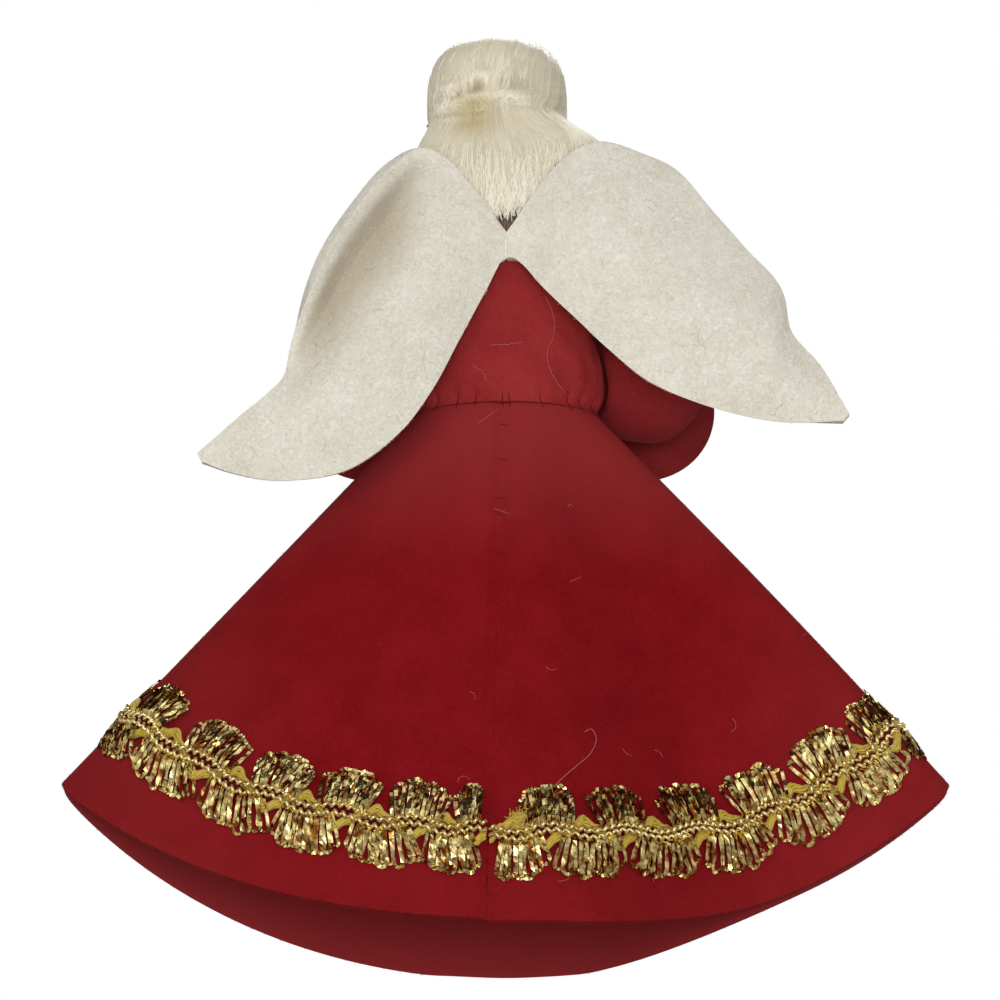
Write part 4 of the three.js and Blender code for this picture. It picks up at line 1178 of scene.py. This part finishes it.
# Painted highlights: strands of a lighter copy of the floss that lie on top of the fall and end at its cut
# edge, and on the tufts that stand up round the tie.
highlight_strands = []
for k in range(HIGHLIGHT_STRANDS):
    share = rng.choice((rng.uniform(0.3, 0.75), rng.uniform(0.3, 0.75), rng.uniform(0.1, 0.3)))
    start = rng.uniform(0.3, 0.8) if share > 0.3 else rng.uniform(0.08, 0.4)
    end = 1.0 + 0.08 * noise.noise(Vector((26 * share, 5, 0))) + rng.uniform(-0.1, 0.06)
    proud = rng.uniform(0.08, 0.18)
    highlight_strands.append([
        fall_point(share + 0.012 * math.sin(3 * t / 8 + k), start + (end - start) * t / 8, proud)
        for t in range(9)])
for x, z, wide, tall, rise in floss_lumps:
    for k in range(TUFT_STRANDS if rise > 0.45 else 0):
        aside = max(min((x + rng.gauss(0, 0.55 * wide) - HEAD_X) / CAP_HALF_WIDTH, 0.98), -0.98)
        turn = math.acos(aside) / (2 * math.pi)
        v = 0.99 - abs(rng.gauss(0, 0.14)) * (1 + 0.5 * smoothstep(z, 113, 116))
        drift = rng.gauss(0, 0.02)
        highlight_strands.append([
            cap_point(turn + drift * t / 6, min(v + 0.1 * (t / 6 - 0.5), 0.99),
                      0.06 * math.sin(math.pi * (t + 1) / 8))
            for t in range(7)])
add_strands("floss_painted_highlight_ends", highlight_strands, 0.05, 0, highlight_floss)

# Under-floss: dark brown strands below the fall, in the notch between the wings, as painted shade for the
# shadow in the notch.
# A brown, duller copy of the floss: painted shade
shade_floss = two_shades("painted_shade_floss_ends", "#75604E", "#A88E78", 0.5, {"Roughness": 0.5}, Detail=2.0)
shade_ends = []
for k in range(UNDER_STRANDS):
    x = rng.uniform(-2.6, 3.4)
    depth = rng.uniform(11.9, 12.5)
    foot = 95.2 + 0.5 * abs(x - 0.2) + rng.uniform(-0.5, 0.6)
    drift = rng.uniform(-0.35, 0.35)
    shade_ends.append([
        Vector((x + (0.3 - x) * 0.2 * t / 6 + drift * t / 6, depth - 0.1 * t / 6,
                UNDER_TOP_Z + (foot - UNDER_TOP_Z) * t / 6)) * MM
        for t in range(7)])
add_strands("floss_painted_shade_ends", shade_ends, 0.06, 0, shade_floss)

# Hair tie: a waxed thread wound round the floss, sunk in the crease between crown and fall.
# Waxed thread: satin and yellowed in spots
tie_thread = two_shades("waxed_tie_thread", "#CDB98A", "#E6DAB4", 0.6, {"Roughness": 0.45}, Detail=2.0)
tie_plies = []
for ply in range(2):
    path = []
    for k in range(181):
        share = 0.08 + 0.84 * k / 180
        twist = math.pi * k / 5 + math.pi * ply
        sunk = 0.45 - 0.4 * math.exp(-((share - tie_share) / 0.05) ** 2)
        path.append(fall_point(share, 0.005 * math.sin(twist), 0.06 * math.cos(twist) - sunk))
    tie_plies.append(path)
tie = add_strands("hair_tie_thread", tie_plies, 0.1, 1, tie_thread)
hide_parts("hair_tack_thread")

# Wings: two leaves cut from thick white wool felt in one piece, joined by a narrow web that is sewn to the
# middle of the back. The right one lies flat and full; the outer edge of the left one has curled back.
WHITE_FELT = 1.8
WING_ROOT_Z = 90.4
WING_ROOT_Y = 13.234
WING_BEND_Z = 92.5
WING_GREY_CURLS = 14
WING_BLOOM = 1600
WING_EDGE_BLOOM = 900
# The white felt's third colour, a darker yellowed grey, is painted shade.
white_wool_felt = felt(
    "white_wool_felt", "#C2BDAC", "#EDE9DE", 0.15, "#FFFFFF", painted_shading_colour="#A1947A", grain=0.8, relief_depth=0.3,
    clouding=0.35)
grey_fibre = loose_wool("loose_grey_wool", "#A89C88")
white_fibre = loose_wool("loose_white_wool", "#EFE9DA")
right_upper = [
    (0.1, 0, 4.2), (4.6, 1.6, 10.2), (8.6, 2.4, 14.5), (12.4, 2.2, 16.3), (18, 1.4, 14.9), (22.4, 0.8, 12.9),
    (27, 0.4, 7.6), (31.6, 0, 2.2), (36, -0.6, -3), (37.3, -0.8, -9.0), (41.4, -1, -13.8),
    (45.5, -1.2, -20.2)]
right_lower = [
    (0.1, 0, 1.0), (1.2, 0.2, 0.9), (2.6, 0.5, -0.2), (5.2, 0.9, -3.2), (9.8, 1.4, -7.9), (13.8, 1.6, -12.0),
    (19, 1.4, -16.4), (27.2, 0.4, -19.5), (36.4, -0.6, -21.2), (44.7, -1.2, -21.2)]
left_upper = [
    (0.1, 0, 4.2), (4.4, 2.6, 9.6), (8, 3.6, 13.6), (11.4, 4.4, 15), (15.2, 5, 12.6), (20, 5.4, 6.8),
    (23.6, 5.2, 1.2), (26.1, 4.4, -4.4), (27.9, 3, -10), (28.9, 1.8, -15.4), (31.5, 1.2, -18.2),
    (34.8, 0.6, -20.8), (40.7, -0.4, -25.9)]
left_lower = [
    (0.1, 0, 0.9), (1.0, 0.2, 0.3), (3.2, 0.8, -4), (6.8, 1.6, -11.4), (10.1, 2, -18), (14, 1.6, -23.4),
    (21.2, 0.6, -28.4), (30, 0, -29.5), (36.5, -0.2, -28.4), (40.2, -0.4, -27.0)]


def wing_point(wing, u, v, rise):
    def middle(u, v):
        place = wing["upper"](u).lerp(wing["lower"](u), v)
        swell = smoothstep(u, 0.02, 0.3) * (1 - smoothstep(u, 0.75, 1))
        rolled = smoothstep(u, 0.14, 0.36) * (1 - smoothstep(u, 0.5, 0.78))
        valley = 3.0 * smoothstep(v, 0, 0.17) * (1 - smoothstep(v, 0.2, 0.75)) - 0.8 * math.exp(-v / 0.05)
        place.y += swell * wing["crown"] * math.sin(math.pi * v) - wing["curl"] * rolled * valley
        waver = noise.noise(Vector((place.x / 9, place.z / 9, wing["side"])))
        place.y += 0.35 * smoothstep(u, 0.1, 0.4) * waver
        return place
    step = 0.01
    inner = min(max(u, step), 1 - step)
    along = middle(inner + step, v) - middle(inner - step, v)
    across = middle(inner, min(v + step, 1)) - middle(inner, max(v - step, 0))
    outward = along.cross(across).normalized()
    outward *= math.copysign(1, outward.y)
    place = middle(u, v) + outward * rise
    turned = Vector((wing["side"] * outward.x, outward.y, outward.z))
    return Vector((wing["side"] * place.x, WING_ROOT_Y + place.y, WING_ROOT_Z + place.z)) * MM, turned


wings = (
    {"name": "right", "side": -1, "upper": curve_through(right_upper), "lower": curve_through(right_lower),
     "crown": 2.2, "curl": 0.0, "body": "right_wing", "flat": (0.054, 0.036)},
    {"name": "left", "side": 1, "upper": curve_through(left_upper), "lower": curve_through(left_lower),
     "crown": 0.6, "curl": 1.0, "body": "left_wing", "flat": (0.056, 0.032)},
)
rng = random.Random(33)
for wing in wings:
    bm = cloth_grid(110, 56, lambda u, v: Vector((u, v, 0)))
    painted_shading = bm.verts.layers.float.new("painted_shading")
    for vertex in bm.verts:
        u, v, _ = vertex.co
        # Painted shade: the valley inside the left wing's curled edge is darkened in its colour.
        painted_valley_shade = smoothstep(v, 0.03, 0.08) * (1 - smoothstep(v, 0.18, 0.55))
        painted_valley_shade *= 1 - smoothstep(u, 0.55, 0.8)
        vertex[painted_shading] = 0.75 * wing["curl"] * painted_valley_shade * smoothstep(u, 0.18, 0.36)
        vertex.co = wing_point(wing, u, v, WHITE_FELT / 2)[0]
    bmesh.ops.recalc_face_normals(bm, faces=bm.faces)
    bm.faces.ensure_lookup_table()
    turn_faces(bm, bm.faces[len(bm.faces) // 2], Vector((0, 1, 0)))
    leaf = add_piece(f"felt_wing_{wing['name']}", bm, white_wool_felt, None)
    thicken(leaf, WHITE_FELT, 0.45, 3, even=False)
    bpy.context.view_layer.update()
    leaf_shape = bpy.data.meshes.new_from_object(leaf.evaluated_get(bpy.context.evaluated_depsgraph_get()))
    leaf.modifiers.clear()
    leaf.data = leaf_shape
    root = wing["side"] * 0.4 * MM, WING_ROOT_Y * MM, WING_BEND_Z * MM
    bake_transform(leaf)
    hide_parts(f"wing_{wing['name']}")

    curls = []
    for k in range(WING_GREY_CURLS):
        place, outward = wing_point(
            wing, rng.uniform(0.15, 0.9), rng.uniform(0.06, 0.94), WHITE_FELT / 2 + 0.05)
        curls.append(curled_fibre(rng, place, outward, rng.uniform(0.8, 2.6) * MM, 0.05, 3.0))
    add_strands(f"wing_grey_curls_{wing['name']}", curls, 0.017, 0, grey_fibre, wing["body"])
    bloom = []
    for k in range(WING_BLOOM):
        place, outward = wing_point(wing, rng.uniform(0.08, 0.93), rng.random(), WHITE_FELT / 2)
        bloom.append(curled_fibre(rng, place, outward, rng.uniform(0.25, 0.7) * MM, 0.6, 3.0))
    for k in range(WING_EDGE_BLOOM):
        v = rng.choice((0.0, 1.0))
        u = rng.uniform(0.08, 0.93)
        place, outward = wing_point(wing, u, v, rng.uniform(-0.5, 0.5))
        inside, _ = wing_point(wing, u, 0.06 if v == 0 else 0.94, 0)
        edge_out = (place - inside).normalized()
        root = place - edge_out * 0.05 * MM
        bloom.append(curled_fibre(rng, root, edge_out, rng.uniform(0.15, 0.4) * MM, 0.8, 3.0))
    add_strands(f"wing_wool_bloom_{wing['name']}", bloom, 0.013, 0, white_fibre, wing["body"])
    if wing["side"] == 1:
        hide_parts("wing_centre_web")

# Wing stitch: white thread that passes over the web and into the back.
# Plied cotton, as in the red thread, but white and a little smoother
white_thread = two_shades(
    "white_cotton_thread", "#D8D0BE", "#F2EDE0", 0.5, {"Roughness": 0.7},
    kind="ShaderNodeTexWave", Distortion=1.0)
stitch_face = WING_ROOT_Y + WHITE_FELT / 2
web_stitches = []
for ply in range(2):
    path = []
    for k in range(25):
        t = k / 24
        twist = 2 * math.pi * (3 * t + ply / 2)
        bow = 0.32 * math.sin(math.pi * t) ** 0.4
        depth = stitch_face - 0.2 + bow + 0.1 * math.sin(twist)
        path.append(Vector((0.1 * math.cos(twist), depth, 91.7 + 2.2 * t)) * MM)
    web_stitches.append(path)
stitch = add_strands("wing_web_stitch", web_stitches, 0.13, 1, white_thread)
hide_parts("wing_tack_stitch")
